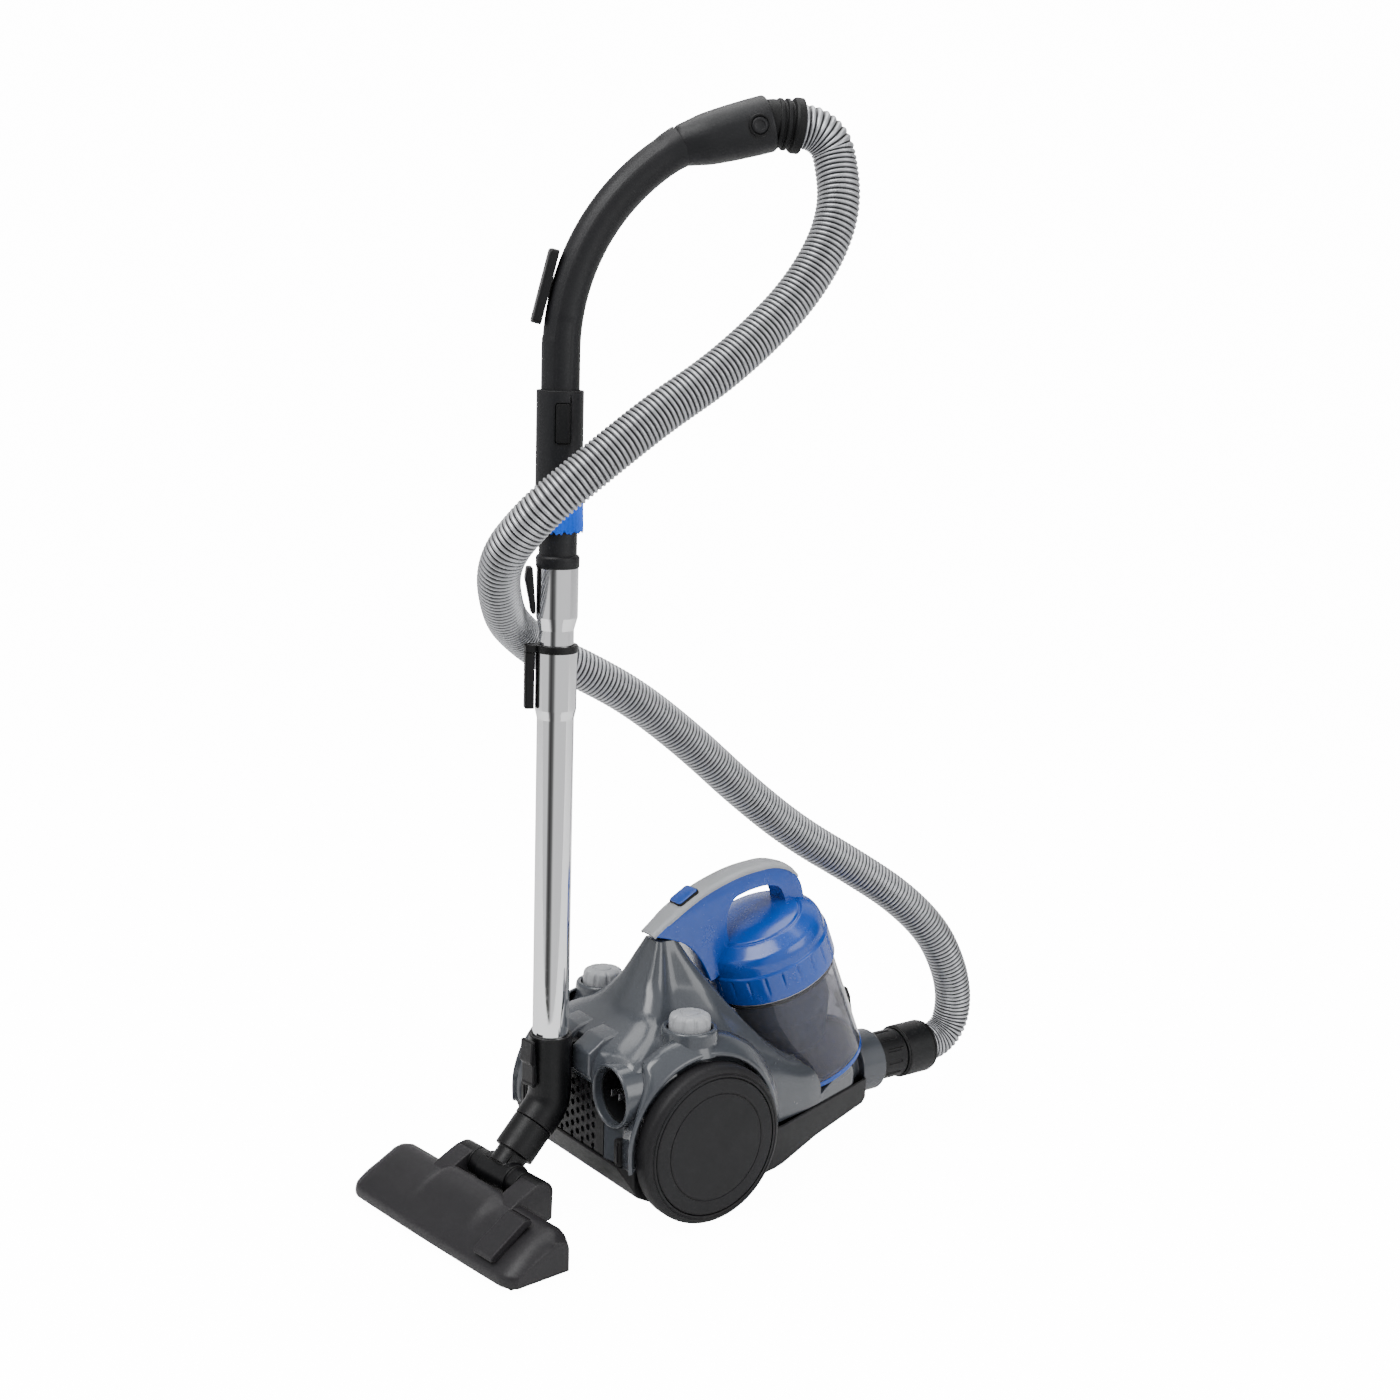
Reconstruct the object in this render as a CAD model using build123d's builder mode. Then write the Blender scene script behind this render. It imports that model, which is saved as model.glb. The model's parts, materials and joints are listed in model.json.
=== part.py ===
"""Canister vacuum cleaner with its wand parked upright, one STEP per piece.

Millimetres, +Z up, X forward towards the hose inlet, Y to the left. The pieces are
drawn with the origin on the floor under the rear axle and moved, when they are
written, so that the origin is the middle of the object's footprint without its hose.
"""

import os
from math import cos, pi, radians, sin, tan

from build123d import *

# Clearances
shaft_play = 0.05
slide_play = 0.08
move_gap = 0.5
seam_gap = 0.3

# Canister
wall = 2.5
axle_height = 79.5
wheel_radius = 79.5
wheel_inner = 104.0
wheel_outer = 127.0
axle_radius = 4.0
hub_radius = 68.5
body_half_width = 96.0
body_rear = -86.0
apex_height = 252.0
split_height = 64.0
nose_end = 264.0
fender_width = 15.0

# Plug recess and foot buttons
port_y = -70.0
port_z = 130.0
port_radius = 31.0
port_bore = 27.0
knob_x = 0.0
knob_y = 77.0
knob_radius = 21.0
knob_base = 182.0
knob_top = 201.0
knob_travel = 4.0

# Exhaust grille at the rear
grille_half_width = 60.0
grille_low = 66.0
grille_high = 132.0
grille_hole = 3.6
grille_pitch = 10.8

# Motor, fan and cord reel
motor_radius = 42.0
motor_y = 16.0
motor_z = 84.0
motor_rear = -52.0
motor_front = 32.0
fan_radius = 40.0
fan_length = 16.0
shaft_radius = 4.0
wound_radius = 46.0
reel_flange = 50.0
reel_hub = 20.0
reel_half_width = 17.0
cord_radius = 3.25
reel_x = 8.0
plug_travel = 100.0
well_floor = -40.0

# Dust cup, set on its own leaning plane
cup_x = 203.0
cup_z = 89.0
cup_lean = 23.0
bin_radius = 66.0
bin_wall = 2.0
bin_height = 116.0
door_thickness = 5.0
lid_radius = 69.5
lid_start = 118.0
lid_shoulder = 162.0
lid_top = 172.0
pocket_play = 3.5
handle_half_width = 13.0
cover_thickness = 3.4

# Hose inlet
inlet_z = 67.0
inlet_radius = 33.0
inlet_end = 296.0
collar_radius = 26.0
collar_end = 333.0
cuff_radius = 28.5
cuff_end = 375.0

# Front caster
caster_x = 212.0
caster_trail = 14.0
caster_wheel_radius = 13.0
caster_wheel_width = 14.0
caster_housing = 26.0
caster_post = 5.0

# Wand, turned about its own upright axis
wand_x = -110.0
wand_turn = -24.0
tube_radius = 17.5
inner_tube_radius = 16.2
tube_wall = 0.8
socket_radius = 19.5
elbow_rim = 176.0
telescope_height = 553.0
upper_socket_low = 583.0
upper_socket_high = 629.0
telescope_travel = 280.0

# Handle
handle_radius = 17.75
handle_wall = 2.6
bend_height = 826.0
bend_radius = 212.0
bend_angle = 60.0
barrel_angle = 16.0
barrel_length = 83.0
barrel_radius = 25.5
sleeve_radius = 21.7
sleeve_bore = 18.3
sleeve_low = 694.0
sleeve_high = 791.0
bristle_low = 662.0

# Elbow, neck and floor head
elbow_radius = 21.0
elbow_bore = 15.0
elbow_bend = 107.0
elbow_lean = 45.0
seam_distance = 27.0
hook_half_width = 5.0
neck_length = 44.0
head_turn = 6.0
head_width = 264.0
head_front = 146.0
head_rear = 72.0
pivot_reach = 56.0
pivot_height = 46.0
pivot_radius = 13.5
pivot_pin = 4.0
roller_radius = 8.0

# Hose
hose_radius = 20.0
hose_bore = 17.8


def within(base, plane):
    """The plane as it stands in the base plane's own directions."""
    return Plane(base.location * plane.location)


def rod(plane, radius, start, end, mode=Mode.ADD):
    """A round bar about the plane's normal, from start to end along it."""
    with BuildSketch(plane.offset(start)) as section:
        Circle(radius)
    extrude(to_extrude=section.sketch, amount=end - start, mode=mode)


def turned(plane, outline, mode=Mode.ADD):
    """A round piece about the plane's normal; its outline is (radius, height) corners."""
    with BuildSketch(within(plane, Plane.XZ)) as section:
        with BuildLine():
            Polyline(*outline, close=True)
        make_face()
    revolve(profiles=section.sketch, axis=Axis(plane.origin, plane.z_dir), mode=mode)


def slab(plane, outline, start, end, mode=Mode.ADD):
    """A straight-sided outline carried along the plane's normal, from start to end."""
    with BuildSketch(plane.offset(start)) as section:
        with BuildLine():
            Polyline(*outline, close=True)
        make_face()
    extrude(to_extrude=section.sketch, amount=end - start, mode=mode)


def pad(plane, centre, size, corner, start, end, mode=Mode.ADD):
    """A rounded rectangle carried along the plane's normal, from start to end."""
    with BuildSketch(plane.offset(start)) as section:
        with Locations(centre):
            RectangleRounded(*size, corner)
    extrude(to_extrude=section.sketch, amount=end - start, mode=mode)


def brick(low, high, mode=Mode.ADD):
    """A box between two opposite corners."""
    middle = [(a + b) / 2 for a, b in zip(low, high)]
    with Locations(tuple(middle)):
        Box(*[b - a for a, b in zip(low, high)], mode=mode)


def facing_forward(y, z):
    """A plane square to X, seen from the front, with its origin at y, z."""
    return Plane(origin=(0, y, z), x_dir=(0, 1, 0), z_dir=(1, 0, 0))


def upright(x, y):
    """A level plane on the floor with its origin at x, y."""
    return Plane(origin=(x, y, 0), x_dir=(1, 0, 0), z_dir=(0, 0, 1))


def spun(plane, angle):
    """The plane turned about its own normal by angle degrees."""
    a = radians(angle)
    return within(plane, Plane(origin=(0, 0, 0), x_dir=(cos(a), sin(a), 0), z_dir=(0, 0, 1)))


LEFT = Plane(origin=(0, 0, axle_height), x_dir=(1, 0, 0), z_dir=(0, 1, 0))
RIGHT = Plane(origin=(0, 0, axle_height), x_dir=(-1, 0, 0), z_dir=(0, -1, 0))
FORWARD = facing_forward(0, 0)
INLET = facing_forward(0, inlet_z)
PORT = facing_forward(port_y, port_z)
MOTOR = facing_forward(motor_y, motor_z)
CASTER = upright(caster_x, 0)
lean = radians(cup_lean)
CUP = Plane(origin=(cup_x, 0, cup_z), x_dir=(cos(lean), 0, sin(lean)), z_dir=(-sin(lean), 0, cos(lean)))
turn = radians(wand_turn)
WAND = Plane(origin=(wand_x, 0, 0), x_dir=(cos(turn), sin(turn), 0), z_dir=(0, 0, 1))
WAND_SIDE = within(WAND, Plane.XZ)
toe = radians(180 + head_turn)
HEAD = Plane(origin=(wand_x, 0, 0), x_dir=(cos(toe), sin(toe), 0), z_dir=(0, 0, 1))
HEAD_SIDE = within(HEAD, Plane.XZ)

pieces = {}

# ---------------------------------------------------------------- canister casing
body_side = [
    (body_rear, 62), (body_rear, 150), (-76, 168), (-48, 176), (-25, 205), (2, apex_height),
    (30, apex_height - 2), (163, 68), (nose_end - 6, 103), (nose_end, 100), (nose_end, 42),
    (nose_end - 6, 37), (170, 31), (100, 20), (-35, 14), (-70, 32),
]
body_front = [
    (-body_half_width, 5), (-body_half_width, 152), (-86, 166), (-48, 182), (-14, apex_height + 10),
    (14, apex_height + 10), (48, 182), (86, 166), (body_half_width, 152), (body_half_width, 5),
]
body_plan = [
    (body_rear - 1, -84), (body_rear + 12, -body_half_width), (78, -body_half_width), (112, -90),
    (nose_end + 1, -37), (nose_end + 1, 37), (112, 90), (78, body_half_width),
    (body_rear + 12, body_half_width), (body_rear - 1, 84),
]
pocket_radius = lid_radius + pocket_play
pocket_floor = -pocket_play


def body_block(inset):
    """The casing's outer form, drawn in by inset all round, without its pockets."""
    with BuildPart() as block:
        for plane, outline in ((Plane.XZ, body_side), (FORWARD, body_front), (Plane.XY, body_plan)):
            with BuildSketch(plane) as section:
                with BuildLine():
                    Polyline(*outline, close=True)
                make_face()
                if inset:
                    offset(amount=-inset, kind=Kind.INTERSECTION)
            mode = Mode.ADD if outline is body_side else Mode.INTERSECT
            extrude(to_extrude=section.sketch, amount=400, both=True, mode=mode)
    return block.part


outer_form = body_block(0)
inner_form = body_block(wall)

reel_z = port_z - wound_radius - cord_radius - seam_gap
REEL = Plane(origin=(reel_x, port_y, reel_z), x_dir=(-1, 0, 0), z_dir=(0, -1, 0))
screw_places = [(-60, -90), (-60, 90), (70, -90), (70, 90)]
screw_seat = split_height - 20


def pocket(extra, mode=Mode.SUBTRACT):
    """The room that the dust cup slides out of, with a channel behind for its hinge."""
    rod(CUP, pocket_radius + extra, pocket_floor - extra, 260, mode)
    channel = (18 + 2 * extra, 42 + 2 * extra)
    pad(CUP, (-bin_radius - 6, 0), channel, 2, pocket_floor - extra, 260, mode)


with BuildPart() as hollow:
    add(inner_form)
    pocket(wall)
    brick((-100, -22 - wall, 130), (-50, 22 + wall, 175), Mode.SUBTRACT)

with BuildPart() as lower_shell:
    add(outer_form)
    add(inner_form, mode=Mode.SUBTRACT)
    brick((-300, -200, split_height), (500, 200, 400), Mode.SUBTRACT)
    # Socket for the caster's swivel post.
    rod(CASTER, 9, 34, 50)
    rod(CASTER, caster_post + shaft_play, 0, 48, Mode.SUBTRACT)
    # Saddles under the motor, and the two cheeks that carry the reel's axle.
    for x in (motor_rear + 6, -4):
        brick((x, motor_y - 30, 15), (x + 6, motor_y + 30, 62))
    rod(MOTOR, motor_radius - 6 + seam_gap, motor_rear, 10, Mode.SUBTRACT)
    for y in (port_y - reel_half_width - 4.2, port_y + reel_half_width + 11.3):
        brick((reel_x - 7, y, 15), (reel_x + 7, y + 2.3, 88))
    rod(REEL, 4 + shaft_play, -40, 30, Mode.SUBTRACT)
    # Posts for the screws that hold the casing together, counterbored from below.
    for x, y in screw_places:
        rod(upright(x, y), 5, 30, split_height)
        rod(upright(x, y), 3.2, 0, screw_seat, Mode.SUBTRACT)
        rod(upright(x, y), 2.1, 0, split_height + 1, Mode.SUBTRACT)
    rod(INLET, 24 + seam_gap, 230, nose_end + 5, Mode.SUBTRACT)

with BuildPart() as upper_shell:
    add(outer_form)
    for side in (LEFT, RIGHT):
        # Fender over each wheel, and the boss that carries its stub axle.
        with BuildSketch(side.offset(body_half_width - wall)) as fender:
            Circle(wheel_radius + 8)
            Circle(wheel_radius + 4, mode=Mode.SUBTRACT)
        extrude(to_extrude=fender.sketch, amount=fender_width)
        rod(side, 10, body_half_width - wall, wheel_inner - 2)
    for y in (-knob_y, knob_y):
        rod(upright(knob_x, y), knob_radius + 6, 140, knob_base)
    rod(PORT, port_radius, body_rear + 5, -30)
    brick((-88, -22, 135), (-52, 22, 169))
    add(hollow.part, mode=Mode.SUBTRACT)
    for x, y in screw_places:
        rod(upright(x, y), 5, split_height, split_height + 20)
        rod(upright(x, y), 1.95, split_height - 1, split_height + 13, Mode.SUBTRACT)
    brick((-300, -200, -50), (500, 200, split_height), Mode.SUBTRACT)
    pocket(0)
    # Grille window, plug recess and its rim, button wells, stub-axle holes.
    brick(
        (body_rear - 1, -grille_half_width, grille_low),
        (body_rear + wall + 1, grille_half_width, grille_high), Mode.SUBTRACT,
    )
    rod(PORT, port_radius, body_rear, body_rear + 5.5)
    rod(PORT, port_bore, body_rear - 10, -28, Mode.SUBTRACT)
    for y in (-knob_y, knob_y):
        rod(upright(knob_x, y), knob_radius + move_gap, knob_base - 12, 260, Mode.SUBTRACT)
        rod(upright(knob_x, y), 8 + move_gap, 130, 260, Mode.SUBTRACT)
    for side in (LEFT, RIGHT):
        rod(side, axle_radius + shaft_play, body_half_width - 8, wheel_outer, Mode.SUBTRACT)
    # Parking slot for the wand's hook, and the inlet hole.
    brick((-100, -hook_half_width - 1, 138), (-74, hook_half_width + 1, 200), Mode.SUBTRACT)
    rod(INLET, 24 + seam_gap, 230, nose_end + 5, Mode.SUBTRACT)

with BuildPart() as exhaust_grille:
    brick(
        (body_rear, seam_gap - grille_half_width, grille_low + seam_gap),
        (body_rear + wall, grille_half_width - seam_gap, grille_high - seam_gap),
    )
    with BuildSketch(FORWARD.offset(body_rear - 1)) as holes:
        columns = int((2 * grille_half_width - 8) / grille_pitch)
        rows = int((grille_high - grille_low - 6) / (grille_pitch * sin(pi / 3)))
        with Locations((0, (grille_low + grille_high) / 2)):
            with HexLocations(grille_pitch / 2, columns, rows):
                RegularPolygon(grille_hole, 6)
    extrude(to_extrude=holes.sketch, amount=wall + 2, mode=Mode.SUBTRACT)
    rod(PORT, port_radius + seam_gap, body_rear - 1, body_rear + wall + 1, Mode.SUBTRACT)

with BuildPart() as exhaust_filter:
    brick((body_rear + 5, -36, 70), (body_rear + 15, 54, 128))

with BuildPart() as shell_screws:
    for x, y in screw_places:
        rod(upright(x, y), 2.9, screw_seat - 4, screw_seat)
        rod(upright(x, y), 1.9, screw_seat, split_height + 12)

# ---------------------------------------------------------------- motor, fan, reel
with BuildPart() as motor:
    rod(MOTOR, motor_radius - 6, motor_rear, motor_front - 22)
    rod(MOTOR, motor_radius, motor_front - 22, motor_front)
    rod(MOTOR, shaft_radius + shaft_play, motor_rear - 1, motor_front + 1, Mode.SUBTRACT)

with BuildPart() as impeller:
    back, front = motor_front + 2, motor_front + fan_length
    rod(MOTOR, fan_radius, back, back + 2)
    rod(MOTOR, fan_radius, front, front + 2)
    rod(MOTOR, 16, front - 1, front + 3, Mode.SUBTRACT)
    for angle in range(0, 360, 45):
        vane = [(7, -1), (fan_radius - 1, 11), (fan_radius - 1, 13), (7, 1)]
        slab(spun(MOTOR, angle), vane, back + 1, front + 1)
    rod(MOTOR, 9, back, front + 2)
    rod(MOTOR, shaft_radius, motor_rear + 2, front + 4)

with BuildPart() as cord_reel:
    rod(REEL, reel_hub - seam_gap, -reel_half_width, reel_half_width)
    rod(REEL, reel_flange, reel_half_width, reel_half_width + 1.5)
    rod(REEL, reel_flange, -reel_half_width - 1.5, -reel_half_width)
    rod(REEL, 4, -reel_half_width - 14, reel_half_width + 4)

with BuildPart() as wound_cord:
    rod(REEL, wound_radius, -reel_half_width + seam_gap, reel_half_width - seam_gap)
    rod(REEL, reel_hub, -reel_half_width, reel_half_width, Mode.SUBTRACT)

with BuildPart() as rewind_spring:
    rod(REEL, 30, -reel_half_width - 11, -reel_half_width - 3)
    rod(REEL, 14, -reel_half_width - 12, -reel_half_width - 2, Mode.SUBTRACT)

with BuildPart() as plug_well:
    rod(PORT, port_bore - seam_gap, body_rear + 8, well_floor)
    rod(PORT, port_bore - seam_gap - 2, body_rear + 7, well_floor - 2, Mode.SUBTRACT)
    rod(PORT, cord_radius + 2, well_floor - 3, well_floor + 1, Mode.SUBTRACT)

with BuildPart() as plug:
    rod(PORT, 15, -62, -50)
    rod(PORT, 17, -64, -60)
    rod(PORT, 10, -50, well_floor - 3)
    chamfer(plug.edges().filter_by(GeomType.CIRCLE).sort_by(Axis.X)[0], 1.5)
    rod(PORT, cord_radius, well_floor - 6, well_floor, Mode.SUBTRACT)

with BuildPart() as plug_blades:
    for y in (-6.5, 6.5):
        brick((-80, port_y + y - 0.8, port_z - 3.2), (-64, port_y + y + 0.8, port_z + 3.2))

with BuildPart() as plug_lead:
    rod(PORT, cord_radius, well_floor - 6, well_floor + plug_travel + 2)

# ---------------------------------------------------------------- wheels and caster
wheel_parts = {}
for side_name, side in (("left", LEFT), ("right", RIGHT)):
    face = wheel_outer - 6
    with BuildPart() as wheel:
        turned(side, [
            (axle_radius + shaft_play, wheel_inner + 1), (11, wheel_inner + 1), (11, face - 5),
            (wheel_radius - 6, face - 5), (wheel_radius - 6, wheel_inner), (wheel_radius - 1.5, wheel_inner),
            (wheel_radius, wheel_inner + 1.5), (wheel_radius, face - 3), (wheel_radius - 1.5, face + 1),
            (wheel_radius - 5, face + 4), (hub_radius + 0.7, face + 4.5), (hub_radius + 0.7, face),
            (axle_radius + shaft_play, face),
        ])
    pieces["wheel_" + side_name] = wheel.part
    with BuildPart() as hub_cap:
        turned(side, [
            (0, face), (hub_radius, face), (hub_radius, face + 3.8), (hub_radius - 0.8, face + 4.6),
            (54, face + 5.5), (53.5, face + 4.9), (52.9, face + 5.55), (25, face + 6), (0, face + 6),
        ])
    pieces["hub_cap_" + side_name] = hub_cap.part

with BuildPart() as axle_stubs:
    for side in (LEFT, RIGHT):
        rod(side, axle_radius, body_half_width - 4, face - 0.5)

caster_wheel_x = caster_x - caster_trail
hinge_line = Plane(origin=(caster_wheel_x, 0, caster_wheel_radius), x_dir=(1, 0, 0), z_dir=(0, 1, 0))
with BuildPart() as caster_fork:
    turned(CASTER, [
        (0, 29.5), (caster_housing - 2, 29.5), (caster_housing, 27.5), (caster_housing, 22),
        (21, 9.5), (0, 9.5),
    ])
    well_length = caster_wheel_radius + 2
    well_side = caster_wheel_width / 2 + 0.75
    brick((caster_wheel_x - 40, -well_side, 0), (caster_wheel_x + well_length, well_side, 27), Mode.SUBTRACT)
    rod(CASTER, caster_post, 27.5, 46)
    rod(hinge_line, 2, -30, 30, Mode.SUBTRACT)

with BuildPart() as caster_wheel:
    rod(hinge_line, caster_wheel_radius, -caster_wheel_width / 2, caster_wheel_width / 2)
    fillet(caster_wheel.edges(), 1.5)
    rod(hinge_line, 2 + shaft_play, -10, 10, Mode.SUBTRACT)

with BuildPart() as caster_axle:
    rod(hinge_line, 2, -14, 14)

# ---------------------------------------------------------------- foot buttons
for button_name, y in (("power_button", -knob_y), ("rewind_button", knob_y)):
    KNOB = upright(knob_x, y)
    with BuildPart() as knob:
        turned(KNOB, [
            (0, knob_base - 7), (knob_radius, knob_base - 7), (knob_radius, knob_top - 5),
            (knob_radius - 1.5, knob_top - 2), (knob_radius - 4, knob_top - 0.6), (0, knob_top),
        ])
        with BuildSketch(KNOB.offset(knob_base + 6)) as scallops:
            with PolarLocations(knob_radius + 1.2, 10):
                Circle(3)
        extrude(to_extrude=scallops.sketch, amount=20, mode=Mode.SUBTRACT)
        rod(KNOB, 8, knob_base - 20, knob_base - 7)
    pieces[button_name] = knob.part

# ---------------------------------------------------------------- dust cup
CUP_FRONT = Plane(origin=CUP.origin, x_dir=(0, 1, 0), z_dir=CUP.x_dir)
DOOR_HINGE = within(CUP, Plane(origin=(-bin_radius - 4, 0, 3), x_dir=(1, 0, 0), z_dir=(0, 1, 0)))
with BuildPart() as dust_bin:
    rod(CUP, bin_radius, door_thickness + 0.3, bin_height)
    rod(CUP, bin_radius - bin_wall, door_thickness, bin_height + 1, Mode.SUBTRACT)
    pad(CUP_FRONT, (0, 22), (14, 4), 1, bin_radius - 1, bin_radius + 7)
    # Dirty air comes in low at the front.
    side_inlet = Plane(origin=CUP.origin + CUP.z_dir * 82, x_dir=(0, 1, 0), z_dir=CUP.x_dir)
    rod(side_inlet, 17, 20, bin_radius + 10, Mode.SUBTRACT)
    # Two ears behind, for the bottom door's hinge.
    for y in (-17, 11):
        pad(DOOR_HINGE, (3, 1), (13, 7), 1, y, y + 6)
    rod(CUP, bin_radius - bin_wall, -1, 12, Mode.SUBTRACT)
    rod(DOOR_HINGE, 1.5 + shaft_play, -20, 20, Mode.SUBTRACT)
    rod(CUP, bin_radius + 2.2, -3, door_thickness + 0.3, Mode.SUBTRACT)

with BuildPart() as bin_seal:
    rod(CUP, bin_radius + 0.6, bin_height + 0.2, lid_start + 3)
    rod(CUP, bin_radius - bin_wall - 2, bin_height, lid_start + 6, Mode.SUBTRACT)

with BuildPart() as cup_lid:
    turned(CUP, [
        (0, lid_start + 3.2), (bin_radius + 1.2, lid_start + 3.2), (bin_radius + 1.2, lid_start),
        (lid_radius, lid_start), (lid_radius, lid_shoulder - 8), (lid_radius - 2, lid_shoulder - 3),
        (lid_radius - 7, lid_shoulder), (lid_radius - 22, lid_top - 2), (0, lid_top),
    ])
    rod(CUP, bin_radius - 5, lid_start + 3, lid_shoulder - 6, Mode.SUBTRACT)
    for angle in range(0, 360, 15):
        groove = spun(CUP, angle)
        pad(groove, (lid_radius + 0.2, 0), (2.4, 3), 0.6, lid_start + 10, lid_start + 30, Mode.SUBTRACT)

handle_outer = [(3, 258), (28, 277), (62, 295), (105, 308), (145, 311), (170, 303), (179, 292)]
handle_inner = [
    (177, 282), (163, 290), (140, 296), (105, 291), (78, 277), (66, 262), (66, 232), (40, 252), (14, 254),
]
with BuildPart() as carry_handle:
    slab(Plane.XZ.offset(-handle_half_width), handle_outer + handle_inner, 0, 2 * handle_half_width)
    brick((160, -handle_half_width, 262), (180, handle_half_width, 288))
    brick((70, -handle_half_width, 200), (88, handle_half_width, 270))
    add(cup_lid.part, mode=Mode.SUBTRACT)
    rod(CUP, lid_radius - 4, lid_start, lid_shoulder, Mode.SUBTRACT)

with BuildPart() as handle_cover:
    raised = [(x - 1, z + cover_thickness) for x, z in reversed(handle_outer)]
    slab(Plane.XZ.offset(-handle_half_width - 1), handle_outer + raised, 0, 2 * handle_half_width + 2)
for piece in (carry_handle, handle_cover):
    with piece:
        well = Plane(origin=(45, 0, 288), x_dir=(0.872, 0, 0.49), z_dir=(-0.49, 0, 0.872))
        pad(well, (0, 0), (24, 17), 3, -8, 12, Mode.SUBTRACT)

with BuildPart() as cup_button:
    pad(well, (0, 0), (24 - 2 * move_gap, 17 - 2 * move_gap), 2.5, -4.5, 4.6)
    fillet(cup_button.faces().sort_by(Axis(well.origin, well.z_dir))[-1].edges(), 1)

with BuildPart() as cyclone:
    turned(CUP, [
        (30, 28), (34, 28), (50, 70), (50, 100), (60, 114), (60, 117.5), (56, 117.5), (46, 101), (46, 70),
    ])

with BuildPart() as cup_filter:
    rod(CUP, 38, 88, 116)
    rod(CUP, 24, 86, 112, Mode.SUBTRACT)

with BuildPart() as bottom_door:
    rod(CUP, bin_radius + 0.6, 0, door_thickness)
    rod(CUP, bin_radius - bin_wall - 0.8, door_thickness, door_thickness + 3)
    rod(CUP, bin_radius - bin_wall - 4, 2.5, door_thickness + 4, Mode.SUBTRACT)
    rod(DOOR_HINGE, 3, -10, 10)
    pad(DOOR_HINGE, (4, 0), (8, 4), 1, -10, 10)
    rod(DOOR_HINGE, 1.5, -17, 17)
    # The lip that the catch hooks under.
    pad(CUP_FRONT, (0, 2.4), (12, 4), 1, bin_radius - 2, bin_radius + 3)

with BuildPart() as door_catch:
    pad(CUP_FRONT, (0, 33), (10, 14), 2, bin_radius + 1.5, bin_radius + 12)
    pad(CUP_FRONT, (0, 11), (10, 14), 2, bin_radius + 4, bin_radius + 7)
    slab(within(CUP, Plane.XZ), [
        (bin_radius + 4, 4), (bin_radius + 7, 4), (bin_radius + 12, 30), (bin_radius + 2, 30),
        (bin_radius + 4, 18),
    ], -5, 5)
    pad(CUP_FRONT, (0, 22), (15, 5), 1, bin_radius - 2, bin_radius + 7.6, Mode.SUBTRACT)

# ---------------------------------------------------------------- inlet and cuffs
with BuildPart() as inlet_port:
    rod(INLET, inlet_radius, nose_end + 0.2, inlet_end)
    rod(INLET, 24, 240, nose_end + 1)
    rod(INLET, 22, 236, inlet_end + 1, Mode.SUBTRACT)

with BuildPart() as swivel_collar:
    rod(INLET, collar_radius, inlet_end + move_gap, collar_end)
    rod(INLET, 22 - seam_gap, inlet_end - 24, inlet_end + 2)
    rod(INLET, 19, inlet_end - 30, collar_end + 1, Mode.SUBTRACT)
    for angle in range(0, 360, 30):
        flute = (inlet_end + 10, collar_end - 8)
        pad(spun(INLET, angle), (collar_radius, 0), (2, 3), 0.8, *flute, Mode.SUBTRACT)

with BuildPart() as hose_cuff:
    rod(INLET, cuff_radius - 1, collar_end + move_gap, cuff_end)
    rod(INLET, cuff_radius, collar_end + 3, cuff_end - 4)
    rod(INLET, 19 - seam_gap, collar_end - 20, collar_end + 2)
    rod(INLET, 16.5, collar_end - 25, cuff_end + 1, Mode.SUBTRACT)

# ---------------------------------------------------------------- wand tubes
with BuildPart() as lower_tube:
    low, neck = 128.5, telescope_height - 66
    turned(WAND, [
        (tube_radius - tube_wall, low), (tube_radius, low), (tube_radius, neck), (socket_radius, neck + 9),
        (socket_radius, telescope_height - 3), (socket_radius - tube_wall, telescope_height - 3),
        (socket_radius - tube_wall, neck + 9.3), (tube_radius - tube_wall, neck + 0.5),
    ])

with BuildPart() as telescope_collar:
    top = telescope_height + 4
    rim = telescope_height - 2.5
    inside = socket_radius - tube_wall - slide_play
    turned(WAND, [
        (inner_tube_radius + slide_play, neck + 12), (inside, neck + 12), (inside, rim),
        (socket_radius + 0.8, rim), (socket_radius + 0.8, top), (inner_tube_radius + slide_play, top),
    ])
    pad(WAND, (-24.4, 0), (10.6, 15), 2, rim, top)
    rod(WAND, inner_tube_radius + slide_play, neck, top + 1, Mode.SUBTRACT)

with BuildPart() as telescope_slider:
    pad(WAND, (-25.2, 0), (9, 14), 2, neck + 10, telescope_height - 3)
    for z in range(int(neck) + 18, int(telescope_height) - 20, 6):
        pad(WAND, (-30, 0), (1.6, 12), 0.5, z, z + 2.5, Mode.SUBTRACT)

with BuildPart() as upper_tube:
    low = telescope_height - 360
    turned(WAND, [
        (inner_tube_radius - tube_wall, low), (inner_tube_radius, low),
        (inner_tube_radius, upper_socket_low - 12), (socket_radius, upper_socket_low),
        (socket_radius, upper_socket_high), (socket_radius - tube_wall, upper_socket_high),
        (socket_radius - tube_wall, upper_socket_low + 0.5),
        (inner_tube_radius - tube_wall, upper_socket_low - 11),
    ])

tube_latch_hinge = Plane(
    origin=(-socket_radius - 3, 0, upper_socket_low + 5), x_dir=(1, 0, 0), z_dir=(0, 1, 0),
)
with BuildPart() as tube_latch:
    slab(WAND_SIDE, [
        (-socket_radius - 1, upper_socket_low + 5), (-socket_radius - 1, upper_socket_low + 11),
        (-socket_radius - 4, upper_socket_high + 1), (-29, upper_socket_high + 1),
        (-30.5, upper_socket_high - 10), (-26, upper_socket_low + 14), (-24.5, upper_socket_low + 5),
    ], -7, 7)
    rod(within(WAND, tube_latch_hinge), 2, -7, 7)

# ---------------------------------------------------------------- handle
bend = radians(bend_angle)
ARC_CENTRE = (bend_radius, bend_height)


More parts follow.
